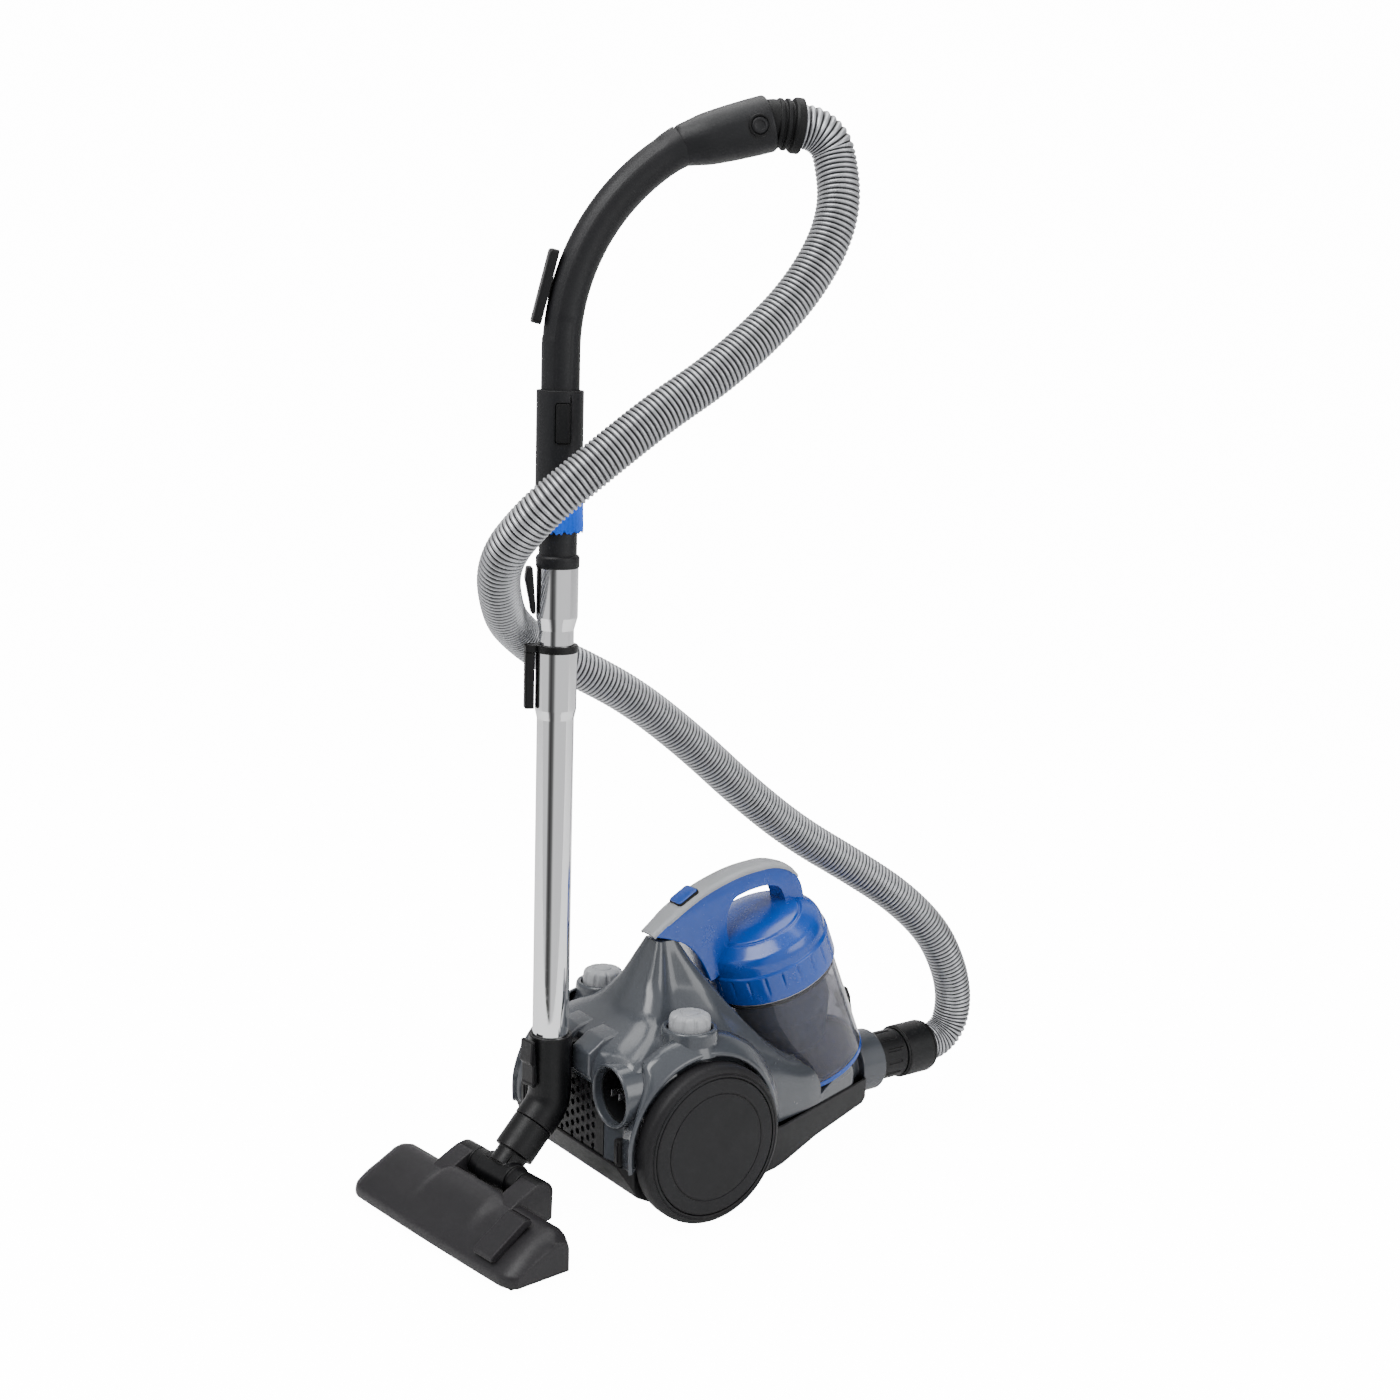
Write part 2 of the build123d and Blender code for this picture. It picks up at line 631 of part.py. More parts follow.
def arc_plane(angle, outward=0.0):
    """A plane square to the handle's centreline, angle degrees round its bend."""
    a = radians(angle)
    x = bend_radius - (bend_radius + outward) * cos(a)
    z = bend_height + (bend_radius + outward) * sin(a)
    return within(WAND, Plane(origin=(x, 0, z), x_dir=(cos(a), 0, -sin(a)), z_dir=(sin(a), 0, cos(a))))


tilt = radians(barrel_angle)
bend_end = arc_plane(bend_angle)
barrel_axis = WAND.x_dir * cos(tilt) + WAND.z_dir * sin(tilt)
BARREL = Plane(origin=bend_end.origin, x_dir=-WAND.y_dir, z_dir=barrel_axis)
with BuildPart() as handle_tube:
    with BuildLine(WAND_SIDE) as centreline:
        straight = Line((0, upper_socket_high + 0.4), (0, bend_height))
        CenterArc(ARC_CENTRE, bend_radius, 180, -bend_angle)
    with BuildSketch(WAND.offset(upper_socket_high + 0.4)) as ring:
        Circle(handle_radius)
    sweep(sections=ring.sketch, path=centreline.line)
    turned(BARREL, [
        (0, -6), (handle_radius - 0.5, -4), (handle_radius + 1, 2), (22.4, 13), (24.3, 40),
        (barrel_radius, 74), (barrel_radius, barrel_length - 1.5), (barrel_radius - 1.5, barrel_length),
        (0, barrel_length),
    ])
    rod(WAND, socket_radius - tube_wall - slide_play, upper_socket_low + 3, upper_socket_high)
    rod(WAND, socket_radius + 0.8, upper_socket_high + 0.4, upper_socket_high + 11)
    rod(WAND, socket_radius - tube_wall - slide_play, upper_socket_high - 1, upper_socket_high + 2)
    with BuildSketch(WAND.offset(upper_socket_high + 0.4)) as bore:
        Circle(handle_radius - handle_wall)
    sweep(sections=bore.sketch, path=centreline.line, mode=Mode.SUBTRACT)
    rod(WAND, handle_radius - handle_wall, upper_socket_low, upper_socket_high + 1, Mode.SUBTRACT)
    turned(BARREL, [
        (0, -8), (handle_radius - handle_wall - 1, -6), (20, 16), (22, 40), (barrel_radius - 2.2, 66),
        (barrel_radius - 1.6, barrel_length + 1), (0, barrel_length + 1),
    ], Mode.SUBTRACT)
    BUTTON = Plane(origin=BARREL.origin + BARREL.z_dir * 68, x_dir=BARREL.z_dir, z_dir=-WAND.y_dir)
    rod(BUTTON, 7.6 + move_gap, 15, 30, Mode.SUBTRACT)

collar_start = BARREL.origin + BARREL.z_dir * (barrel_length + 1.5)
droop = radians(-4)
collar_axis = WAND.x_dir * cos(droop) + WAND.z_dir * sin(droop)
COLLAR = Plane(origin=collar_start, x_dir=-WAND.y_dir, z_dir=collar_axis)
with BuildPart() as hose_collar:
    rings = [(16, -6), (20, -6), (21, 0), (21, 4), (22.5, 5), (22.5, 8), (20.5, 9), (20.5, 11)]
    rings += [(23, 12), (23, 15), (20.5, 16), (20.5, 18), (23.5, 19), (24.8, 21), (24.8, 27.5), (16, 27.5)]
    turned(COLLAR, rings)
hose_end_plane = COLLAR.offset(27.5)

with BuildPart() as hose_button:
    rod(BUTTON, 7.6, 19.6, 27.2)
    rod(BUTTON, 8.6, 19.6, 20.6)
    fillet(hose_button.edges().sort_by(Axis(BUTTON.origin, BUTTON.z_dir))[-1], 1.2)

SLIDER = arc_plane(14, 0)
SLIDER = Plane(origin=SLIDER.origin, x_dir=SLIDER.z_dir, z_dir=-SLIDER.x_dir)
with BuildPart() as airflow_slider:
    pad(SLIDER, (0, 0), (68, 20), 4, handle_radius + move_gap, handle_radius + 9)
    fillet(airflow_slider.faces().sort_by(Axis(SLIDER.origin, SLIDER.z_dir))[-1].edges(), 2)

with BuildPart() as brush_sleeve:
    rod(WAND, sleeve_radius, sleeve_low, sleeve_high)
    rod(WAND, sleeve_bore, sleeve_low - 1, sleeve_high + 1, Mode.SUBTRACT)
    SLEEVE_FACE = Plane(origin=WAND.origin, x_dir=WAND.x_dir, z_dir=-WAND.y_dir)
    pad(SLEEVE_FACE, (0, 762), (14, 36), 2, 10, 30, Mode.SUBTRACT)

with BuildPart() as brush_button:
    button_size = (14 - 2 * move_gap, 36 - 2 * move_gap)
    pad(SLEEVE_FACE, (0, 762), button_size, 2, 20, sleeve_radius + 1.6)

with BuildPart() as brush_bristles:
    rod(WAND, sleeve_radius + 1.4, bristle_low, sleeve_low - 0.2)
    rod(WAND, sleeve_bore + 0.3, bristle_low - 1, sleeve_low, Mode.SUBTRACT)
    trimmed = [(-40, bristle_low - 5), (40, bristle_low - 5), (40, bristle_low + 16), (-40, bristle_low)]
    slab(WAND_SIDE, trimmed, -40, 40, Mode.SUBTRACT)

# ---------------------------------------------------------------- elbow, neck, floor head
slope = radians(elbow_lean)
seam_point = (seam_distance * sin(slope), 0, elbow_bend - seam_distance * cos(slope))
seam = Plane(origin=seam_point, x_dir=(cos(slope), 0, sin(slope)), z_dir=(sin(slope), 0, -cos(slope)))
NECK = within(HEAD, seam)
with BuildPart() as elbow:
    with BuildLine(HEAD_SIDE) as bend_line:
        FilletPolyline((0, elbow_rim), (0, elbow_bend), (seam_point[0], seam_point[2]), radius=30)
    with BuildSketch(HEAD.offset(elbow_rim)) as ring:
        Circle(elbow_radius)
    sweep(sections=ring.sketch, path=bend_line.line)
    # The hook that drops into the slot at the canister's rear.
    hook = [(18, -hook_half_width), (34, -hook_half_width), (34, hook_half_width), (18, hook_half_width)]
    slab(upright(wand_x, 0), hook, 142, 164)
    with BuildSketch(HEAD.offset(elbow_rim)) as bore:
        Circle(elbow_bore)
    sweep(sections=bore.sketch, path=bend_line.line, mode=Mode.SUBTRACT)
    rod(HEAD, tube_radius + slide_play, 128, elbow_rim + 1, Mode.SUBTRACT)

LATCH_HINGE = within(HEAD, Plane(origin=(elbow_radius + 4, 0, 131), x_dir=(1, 0, 0), z_dir=(0, 1, 0)))
with BuildPart() as elbow_latch:
    slab(HEAD_SIDE, [
        (elbow_radius + 1, 131), (elbow_radius + 1, 138), (elbow_radius + 4, 175),
        (elbow_radius + 8, 175), (elbow_radius + 9.5, 154), (elbow_radius + 6.5, 150),
        (elbow_radius + 6.5, 131),
    ], -9, 9)
    rod(LATCH_HINGE, 3, -9, 9)

HEAD_HINGE = within(HEAD, Plane(origin=(pivot_reach, 0, pivot_height), x_dir=(1, 0, 0), z_dir=(0, 1, 0)))
with BuildPart() as neck:
    rod(NECK, elbow_bore - shaft_play, -14, 1)
    rod(NECK, elbow_radius - 0.5, move_gap, neck_length - 10)
    rod(NECK, 16, neck_length - 11, neck_length + 6)
    rod(HEAD_HINGE, 16, -22, 22)
    rod(HEAD_HINGE, pivot_radius, -36, 36)
    rod(NECK, 12, -16, neck_length, Mode.SUBTRACT)
    rod(HEAD_HINGE, pivot_pin, -40, 40, Mode.SUBTRACT)

with BuildPart() as neck_pin:
    rod(HEAD_HINGE, pivot_pin - shaft_play, -50, 50)

roller_top = 2 * roller_radius + 1.5
ROLLER_HINGE = within(HEAD, Plane(origin=(58, 0, roller_radius), x_dir=(1, 0, 0), z_dir=(0, 1, 0)))
head_profile = [
    (head_rear, 5), (head_rear, 36), (head_rear + 8, 44), (head_rear + 24, 46), (head_front - 26, 34),
    (head_front - 8, 20), (head_front, 11), (head_front, 5),
]
with BuildPart() as head_shell:
    slab(HEAD_SIDE, head_profile, -head_width / 2, head_width / 2)
    slab(HEAD, [(38, -66), (head_rear + 20, -66), (head_rear + 20, 66), (38, 66)], roller_top, 44)
    for v in (-62, 39):
        rod(HEAD_HINGE, pivot_radius, v, v + 23)
    for v in (-62, -45, 42, 59):
        slab(HEAD, [(54, v), (62, v), (62, v + 3), (54, v + 3)], 4, roller_top + 1)
    upright_edges = head_shell.edges().filter_by(Axis(HEAD.origin, HEAD.z_dir))
    chamfer(upright_edges.sort_by(Axis(HEAD.origin, HEAD.x_dir))[-2:], 5)
    # Hollow underside, room for the neck, the pin holes, and the pedal's window.
    slab(HEAD_SIDE, [
        (head_rear + 4, 0), (head_rear + 4, 32), (head_rear + 24, 42), (head_front - 28, 30),
        (head_front - 6, 13), (head_front - 6, 0),
    ], -head_width / 2 + 4, head_width / 2 - 4, Mode.SUBTRACT)
    slab(HEAD, [(30, -38), (head_rear + 10, -38), (head_rear + 10, 38), (30, 38)], 5, 60, Mode.SUBTRACT)
    rod(HEAD_HINGE, pivot_pin + shaft_play, -80, 80, Mode.SUBTRACT)
    rod(ROLLER_HINGE, 2 + shaft_play, -80, 80, Mode.SUBTRACT)
    slab(HEAD, [(95, 73), (head_front + 3, 73), (head_front + 3, 105), (95, 105)], 16, 60, Mode.SUBTRACT)

with BuildPart() as sole_plate:
    slab(HEAD, [
        (head_rear + 5, -head_width / 2 + 5), (head_front - 7, -head_width / 2 + 5),
        (head_front - 7, head_width / 2 - 5), (head_rear + 5, head_width / 2 - 5),
    ], 2.5, 5.5)
    # The suction mouth and the slot that the brush comes down through.
    slab(HEAD, [(98, -112), (112, -112), (112, 112), (98, 112)], 0, 10, Mode.SUBTRACT)
    slab(HEAD, [(121, -119), (128, -119), (128, 119), (121, 119)], 0, 10, Mode.SUBTRACT)
    for v in (-120, 112):
        runner = [
            (head_rear + 10, v), (head_front - 14, v), (head_front - 14, v + 8), (head_rear + 10, v + 8),
        ]
        slab(HEAD, runner, 0, 3)

with BuildPart() as floor_brush:
    slab(HEAD, [(122, -118), (127, -118), (127, 118), (122, 118)], 8.5, 12)
    slab(HEAD, [(123.5, -110), (125.5, -110), (125.5, 110), (123.5, 110)], 5, 9)

with BuildPart() as head_rollers:
    for v in (-52, 52):
        rod(ROLLER_HINGE, roller_radius, v - 6, v + 6)
        rod(ROLLER_HINGE, 2, v - 10, v + 10)

PEDAL_HINGE = within(HEAD, Plane(origin=(101, 0, 47), x_dir=(1, 0, 0), z_dir=(0, 1, 0)))
with BuildPart() as foot_pedal:
    slab(HEAD_SIDE, [
        (99, 46), (100, 50), (106, 51), (head_front - 4, 27), (head_front - 2, 22), (head_front - 7, 20),
    ], -103, -75)
    rod(PEDAL_HINGE, 3, 75, 103)

# ---------------------------------------------------------------- hose
hose_start = (cuff_end, 0, inlet_z)
hose_join = (-170.5, 2.5, 613)
lower_route = [
    hose_start, (388, 0, inlet_z), (401, 0, 72), (411, -1, 82), (416, -2, 97), (415, -4, 122),
    (404, -5, 156), (379, -3, 200), (336, 9, 243), (281, 25, 281), (216, 41, 322), (151, 51, 374),
    (86, 56, 432), (17, 57, 484), (-42, 62, 517), (-82, 68, 536),
    (-119, 55, 560), (-154, 25, 586), hose_join,
]
# How far beyond the handle's collar, and how far below it, each last point lies.
collar_bend = [(33.2, 20.3), (27.2, 9.9), (18.5, 3.1), (9, 0), (0, 0)]
upper_route = [
    hose_join, (-187, -20, 640), (-172, -60, 686), (-143, -77, 715), (-106, -88, 746), (-63, -96, 778),
    (-16, -105, 808), (28, -110, 842), (69, -115, 881), (100, -117, 925), (115, -114, 966),
]
for reach, drop in collar_bend:
    upper_route.append(tuple(hose_end_plane.origin + COLLAR.z_dir * reach - Vector(0, 0, drop)))


def corner_radii(route):
    """For each inner corner, 0.45 of its shorter run over the tangent of half its turn."""
    points = [Vector(*point) for point in route]
    radii = []
    for before, here, after in zip(points, points[1:], points[2:]):
        first, second = here - before, after - here
        half = radians(first.get_angle(second)) / 2
        radii.append(0.45 * min(first.length, second.length) / tan(half))
    return radii


hoses = {}
for hose_name, route in (("hose_lower", lower_route), ("hose_upper", upper_route)):
    radii = corner_radii(route)
    with BuildPart() as hose:
        with BuildLine() as path:
            FilletPolyline(*route, radius=radii)
        with BuildSketch(path.line ^ 0):
            Circle(hose_radius)
            Circle(hose_bore, mode=Mode.SUBTRACT)
        sweep()
    hoses[hose_name] = hose.part
    section = pi * (hose_radius**2 - hose_bore**2)
    length = sum(edge.length for edge in path.line.edges())
    print(hose_name, "radii", [round(r) for r in radii], "length", round(length, 1))
    print(hose_name, "volume over section times length", round(hose.part.volume / (section * length), 4))

pieces.update(
    lower_shell=lower_shell.part, upper_shell=upper_shell.part, exhaust_grille=exhaust_grille.part,
    exhaust_filter=exhaust_filter.part, shell_screws=shell_screws.part, motor=motor.part,
    impeller=impeller.part, cord_reel=cord_reel.part, wound_cord=wound_cord.part,
    rewind_spring=rewind_spring.part,
    plug_well=plug_well.part, plug=plug.part, plug_blades=plug_blades.part, plug_lead=plug_lead.part,
    axle_stubs=axle_stubs.part, caster_fork=caster_fork.part, caster_wheel=caster_wheel.part,
    caster_axle=caster_axle.part, dust_bin=dust_bin.part, bin_seal=bin_seal.part, cup_lid=cup_lid.part,
    carry_handle=carry_handle.part, handle_cover=handle_cover.part, cup_button=cup_button.part,
    cyclone=cyclone.part, cup_filter=cup_filter.part, bottom_door=bottom_door.part,
    door_catch=door_catch.part, inlet_port=inlet_port.part, swivel_collar=swivel_collar.part,
    hose_cuff=hose_cuff.part, lower_tube=lower_tube.part, telescope_collar=telescope_collar.part,
    telescope_slider=telescope_slider.part, upper_tube=upper_tube.part, tube_latch=tube_latch.part,
    handle_tube=handle_tube.part, hose_collar=hose_collar.part, hose_button=hose_button.part,
    airflow_slider=airflow_slider.part, brush_sleeve=brush_sleeve.part, brush_button=brush_button.part,
    brush_bristles=brush_bristles.part, elbow=elbow.part, elbow_latch=elbow_latch.part, neck=neck.part,
    neck_pin=neck_pin.part, head_shell=head_shell.part, sole_plate=sole_plate.part,
    floor_brush=floor_brush.part, head_rollers=head_rollers.part, foot_pedal=foot_pedal.part,
)

box = Compound(children=[piece.moved(Location()) for piece in pieces.values()]).bounding_box()
centre = Location((-(box.min.X + box.max.X) / 2, -(box.min.Y + box.max.Y) / 2, -box.min.Z))
pieces.update(hoses)
print("pieces", len(pieces), "moved by", centre.position)

os.makedirs("parts", exist_ok=True)
for name, piece in pieces.items():
    placed = piece.moved(centre)
    placed.label = name
    export_step(placed, f"parts/{name}.step")
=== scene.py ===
import json
import math

import bmesh
import bpy
import numpy as np
from mathutils import Matrix, Vector


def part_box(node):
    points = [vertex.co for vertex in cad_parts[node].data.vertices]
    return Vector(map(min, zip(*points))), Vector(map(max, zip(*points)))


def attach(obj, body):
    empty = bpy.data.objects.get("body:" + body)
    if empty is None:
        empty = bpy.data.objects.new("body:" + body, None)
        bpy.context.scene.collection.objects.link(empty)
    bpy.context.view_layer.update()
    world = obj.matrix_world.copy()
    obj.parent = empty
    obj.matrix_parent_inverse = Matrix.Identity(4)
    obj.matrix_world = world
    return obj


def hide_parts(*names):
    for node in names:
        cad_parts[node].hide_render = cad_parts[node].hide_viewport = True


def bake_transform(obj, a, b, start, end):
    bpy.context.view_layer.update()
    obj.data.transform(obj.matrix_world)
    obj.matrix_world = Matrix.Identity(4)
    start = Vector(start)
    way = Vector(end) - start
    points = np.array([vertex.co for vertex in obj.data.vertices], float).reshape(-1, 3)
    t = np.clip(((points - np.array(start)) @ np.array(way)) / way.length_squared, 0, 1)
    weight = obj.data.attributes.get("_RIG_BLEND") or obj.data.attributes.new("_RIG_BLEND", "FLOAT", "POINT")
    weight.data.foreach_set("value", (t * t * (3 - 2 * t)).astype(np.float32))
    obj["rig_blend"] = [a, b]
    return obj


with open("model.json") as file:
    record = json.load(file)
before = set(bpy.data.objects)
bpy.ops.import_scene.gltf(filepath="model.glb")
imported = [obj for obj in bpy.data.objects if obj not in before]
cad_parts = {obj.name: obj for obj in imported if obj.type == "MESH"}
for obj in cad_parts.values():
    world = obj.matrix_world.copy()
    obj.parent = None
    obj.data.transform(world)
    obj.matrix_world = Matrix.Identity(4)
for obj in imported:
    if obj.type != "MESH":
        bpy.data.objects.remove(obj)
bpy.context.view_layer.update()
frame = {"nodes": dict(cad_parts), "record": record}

# Canister vacuum cleaner with its wand parked upright. Shapes are worked out in
# millimetres from the point on the floor under the rear axle, X forward and Y left,
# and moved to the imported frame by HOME, which the axle's own box gives.

stub_low, stub_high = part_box("axle_stubs")
HOME = np.array([(stub_low[0] + stub_high[0]) / 2, (stub_low[1] + stub_high[1]) / 2, 0.0])
nodes = frame["nodes"]


def row(points):
    """Millimetres from under the axle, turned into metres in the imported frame."""
    return np.asarray(points, float) * 0.001 + HOME


class Seat:
    """A place and three directions that a piece is drawn in."""

    def __init__(self, origin, x_dir, z_dir):
        self.o = np.asarray(origin, float)
        self.x = np.asarray(x_dir, float) / np.linalg.norm(x_dir)
        self.z = np.asarray(z_dir, float) / np.linalg.norm(z_dir)
        self.y = np.cross(self.z, self.x)

    def at(self, points):
        """Local points carried out along the seat's three directions."""
        p = np.asarray(points, float)
        return self.o + p[..., :1] * self.x + p[..., 1:2] * self.y + p[..., 2:3] * self.z


def bearing(degrees):
    """The level direction at that many degrees from X."""
    a = math.radians(degrees)
    return np.array([math.cos(a), math.sin(a), 0.0])


UP = np.array([0.0, 0.0, 1.0])
FORWARD = np.array([1.0, 0.0, 0.0])
cup_lean = math.radians(23.0)
CUP = Seat((203, 0, 89), (math.cos(cup_lean), 0, math.sin(cup_lean)),
           (-math.sin(cup_lean), 0, math.cos(cup_lean)))
WAND = Seat((-110, 0, 0), bearing(-24.0), UP)
HEAD = Seat((-110, 0, 0), bearing(186.0), UP)
LEFT = Seat((0, 0, 79.5), (1, 0, 0), (0, 1, 0))
RIGHT = Seat((0, 0, 79.5), (-1, 0, 0), (0, -1, 0))
PORT = Seat((0, -70, 130), (0, 1, 0), FORWARD)
INLET = Seat((0, 0, 67), (0, 1, 0), FORWARD)

SIDE = Seat((0, 0, 0), FORWARD, (0, -1, 0))

# ---------------------------------------------------------------- camera, floor, light
camera_data = bpy.data.cameras.new("camera")
camera_data.sensor_width = 36.0
camera_data.lens = 52.94
camera = bpy.data.objects.new("camera", camera_data)
bpy.context.scene.collection.objects.link(camera)
pitch, roll, yaw = 0.2007, 0.0297, 0.9425
look = np.array([math.cos(yaw) * math.cos(pitch), math.sin(yaw) * math.cos(pitch), -math.sin(pitch)])
side = np.array([math.sin(yaw), -math.cos(yaw), 0.0])
above = np.cross(side, look)
across = side * math.cos(roll) + above * math.sin(roll)
upward = -side * math.sin(roll) + above * math.cos(roll)
stand = row([-1108.0, -1603.1, 891.3])
camera.matrix_world = Matrix([[*r] for r in np.vstack([
    np.column_stack([across, upward, -look, stand]), [0, 0, 0, 1],
])])
camera_data.clip_end = 50
bpy.context.scene.camera = camera


def mesh_object(name, points, faces):
    """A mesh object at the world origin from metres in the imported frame."""
    mesh = bpy.data.meshes.new(name)
    mesh.from_pydata(np.asarray(points, float).tolist(), [], [list(f) for f in faces])
    mesh.update()
    thing = bpy.data.objects.new(name, mesh)
    bpy.context.scene.collection.objects.link(thing)
    return thing


def grid_faces(rows, columns, close_rows=False, close_columns=True, offset=0):
    """Four-sided faces between neighbouring rows and columns of a grid of points."""
    i = np.arange(rows if close_rows else rows - 1)
    j = np.arange(columns if close_columns else columns - 1)
    i, j = np.meshgrid(i, j, indexing="ij")
    i2, j2 = (i + 1) % rows, (j + 1) % columns
    quads = np.stack([i * columns + j, i * columns + j2, i2 * columns + j2, i2 * columns + j], -1)
    return (quads.reshape(-1, 4) + offset).tolist()


# Backdrop: a level floor that curves up into a wall behind the object.
profile = np.array([[-0.62, 0.0], [2.6, 0.0]])
turn_up = np.linspace(0, math.pi / 2, 16)
curve = np.column_stack([2.6 + 1.6 * np.sin(turn_up), 1.6 - 1.6 * np.cos(turn_up)])
profile = np.vstack([profile, curve[1:], [[4.2, 6.0]]])
wide = np.linspace(-6, 6, 3)
back = np.array([math.cos(yaw), math.sin(yaw)])
sweep = np.array([back[1], -back[0]])
drop = np.empty((len(profile), len(wide), 3))
drop[..., 0] = profile[:, None, 0] * back[0] + wide[None, :] * sweep[0]
drop[..., 1] = profile[:, None, 0] * back[1] + wide[None, :] * sweep[1]
drop[..., 2] = profile[:, None, 1] - 0.0008
floor = mesh_object("studio_floor", drop.reshape(-1, 3), grid_faces(*drop.shape[:2], close_columns=False))
floor.data.polygons.foreach_set("use_smooth", np.ones(len(floor.data.polygons), bool))
pale = bpy.data.materials.new("pale_paper")
pale.use_nodes = True
p_tree = pale.node_tree
p_tree.nodes.clear()
p_out = p_tree.nodes.new("ShaderNodeOutputMaterial")
p_matte = p_tree.nodes.new("ShaderNodeBsdfDiffuse")
p_matte.inputs["Color"].default_value = (0.8, 0.8, 0.8, 1)
p_glow = p_tree.nodes.new("ShaderNodeEmission")
p_path = p_tree.nodes.new("ShaderNodeLightPath")
p_level = p_tree.nodes.new("ShaderNodeMapRange")
p_level.inputs["To Min"].default_value = 0.12
p_level.inputs["To Max"].default_value = 14.0
p_sum = p_tree.nodes.new("ShaderNodeAddShader")
p_tree.links.new(p_path.outputs["Is Camera Ray"], p_level.inputs["Value"])
p_tree.links.new(p_level.outputs[0], p_glow.inputs["Strength"])
p_tree.links.new(p_matte.outputs[0], p_sum.inputs[0])
p_tree.links.new(p_glow.outputs[0], p_sum.inputs[1])
p_tree.links.new(p_sum.outputs[0], p_out.inputs[0])
floor.data.materials.append(pale)


def lamp(name, place, target, size, watts, colour=(1, 1, 1)):
    """A soft square light that faces its target."""
    data = bpy.data.lights.new(name, "AREA")
    data.shape = "SQUARE"
    data.size = size
    data.energy = watts
    data.color = colour
    light = bpy.data.objects.new(name, data)
    bpy.context.scene.collection.objects.link(light)
    light.location = place
    light.rotation_mode = "QUATERNION"
    light.rotation_quaternion = (Vector(target) - Vector(place)).to_track_quat("-Z", "Y")
    return light


lamp("key_light", (-1.5, -0.3, 2.6), (0, 0, 0.4), 1.6, 62)
lamp("fill_light", (0.9, -2.3, 1.3), (0, 0, 0.4), 1.6, 26)
lamp("top_light", (0.4, 0.6, 2.9), (0, 0, 0.3), 2.0, 46)

# The room's light is soft white with two darker bands, which give polished metal its stripes.
world = bpy.data.worlds.new("studio")
bpy.context.scene.world = world
world.use_nodes = True
wt = world.node_tree
wt.nodes.clear()
w_out = wt.nodes.new("ShaderNodeOutputWorld")
w_back = wt.nodes.new("ShaderNodeBackground")
w_coord = wt.nodes.new("ShaderNodeTexCoord")
w_split = wt.nodes.new("ShaderNodeSeparateXYZ")
w_angle = wt.nodes.new("ShaderNodeMath")
w_angle.operation = "ARCTAN2"
w_turn = wt.nodes.new("ShaderNodeMapRange")
w_turn.inputs["From Min"].default_value = -math.pi
w_turn.inputs["From Max"].default_value = math.pi
w_ramp = wt.nodes.new("ShaderNodeValToRGB")
w_ramp.color_ramp.interpolation = "EASE"
stops = [
    (0.0, 1.0), (0.035, 1.0), (0.06, 0.20), (0.09, 0.07), (0.125, 0.16), (0.17, 1.0), (0.38, 1.0),
    (0.45, 0.05),
    (0.62, 0.04), (0.68, 0.35), (0.83, 0.45), (0.88, 1.0), (1.0, 1.0),
]
for position, level in stops:
    if position in (0.0, 1.0):
        stop = w_ramp.color_ramp.elements[0 if position == 0.0 else -1]
        stop.position = position
    else:
        stop = w_ramp.color_ramp.elements.new(position)
    stop.color = (level, level, level * 1.01, 1)
w_back.inputs["Strength"].default_value = 0.85
wt.links.new(w_coord.outputs["Generated"], w_split.inputs[0])
wt.links.new(w_split.outputs["Y"], w_angle.inputs[0])
wt.links.new(w_split.outputs["X"], w_angle.inputs[1])
wt.links.new(w_angle.outputs[0], w_turn.inputs["Value"])
wt.links.new(w_turn.outputs[0], w_ramp.inputs[0])
wt.links.new(w_ramp.outputs[0], w_back.inputs["Color"])
wt.links.new(w_back.outputs[0], w_out.inputs[0])


# ---------------------------------------------------------------- shared effects
def effect(name, takes, gives):
    """A new shader node group with named inputs, each with its first value, and outputs."""
    group = bpy.data.node_groups.new(name, "ShaderNodeTree")
    for label, kind, value in takes:
        socket = group.interface.new_socket(label, in_out="INPUT", socket_type=kind)
        if value is not None:
            socket.default_value = value
    for label, kind in gives:
        group.interface.new_socket(label, in_out="OUTPUT", socket_type=kind)
    return group, group.nodes.new("NodeGroupInput"), group.nodes.new("NodeGroupOutput")


def noise(tree, vector, scale, detail=3.0, roughness=0.5):
    """A noise texture node on that vector."""
    n = tree.nodes.new("ShaderNodeTexNoise")
    n.inputs["Scale"].default_value = scale
    n.inputs["Detail"].default_value = detail
    n.inputs["Roughness"].default_value = roughness
    tree.links.new(vector, n.inputs["Vector"])
    return n


def maths(tree, operation, a, b=0.0, clamp=False):
    """A math node; each input is a number or a socket."""
    n = tree.nodes.new("ShaderNodeMath")
    n.operation = operation
    n.use_clamp = clamp
    for socket, value in zip(n.inputs, (a, b)):
        if isinstance(value, (int, float)):
            socket.default_value = value
        else:
            tree.links.new(value, socket)
    return n.outputs[0]


def spread(tree, value, low, high, to_low, to_high):
    """A map-range node from low..high to to_low..to_high."""
    n = tree.nodes.new("ShaderNodeMapRange")
    for label, number in (("From Min", low), ("From Max", high), ("To Min", to_low), ("To Max", to_high)):
        n.inputs[label].default_value = number
    tree.links.new(value, n.inputs["Value"])
    return n.outputs[0]


F, V, C = "NodeSocketFloat", "NodeSocketVector", "NodeSocketColor"

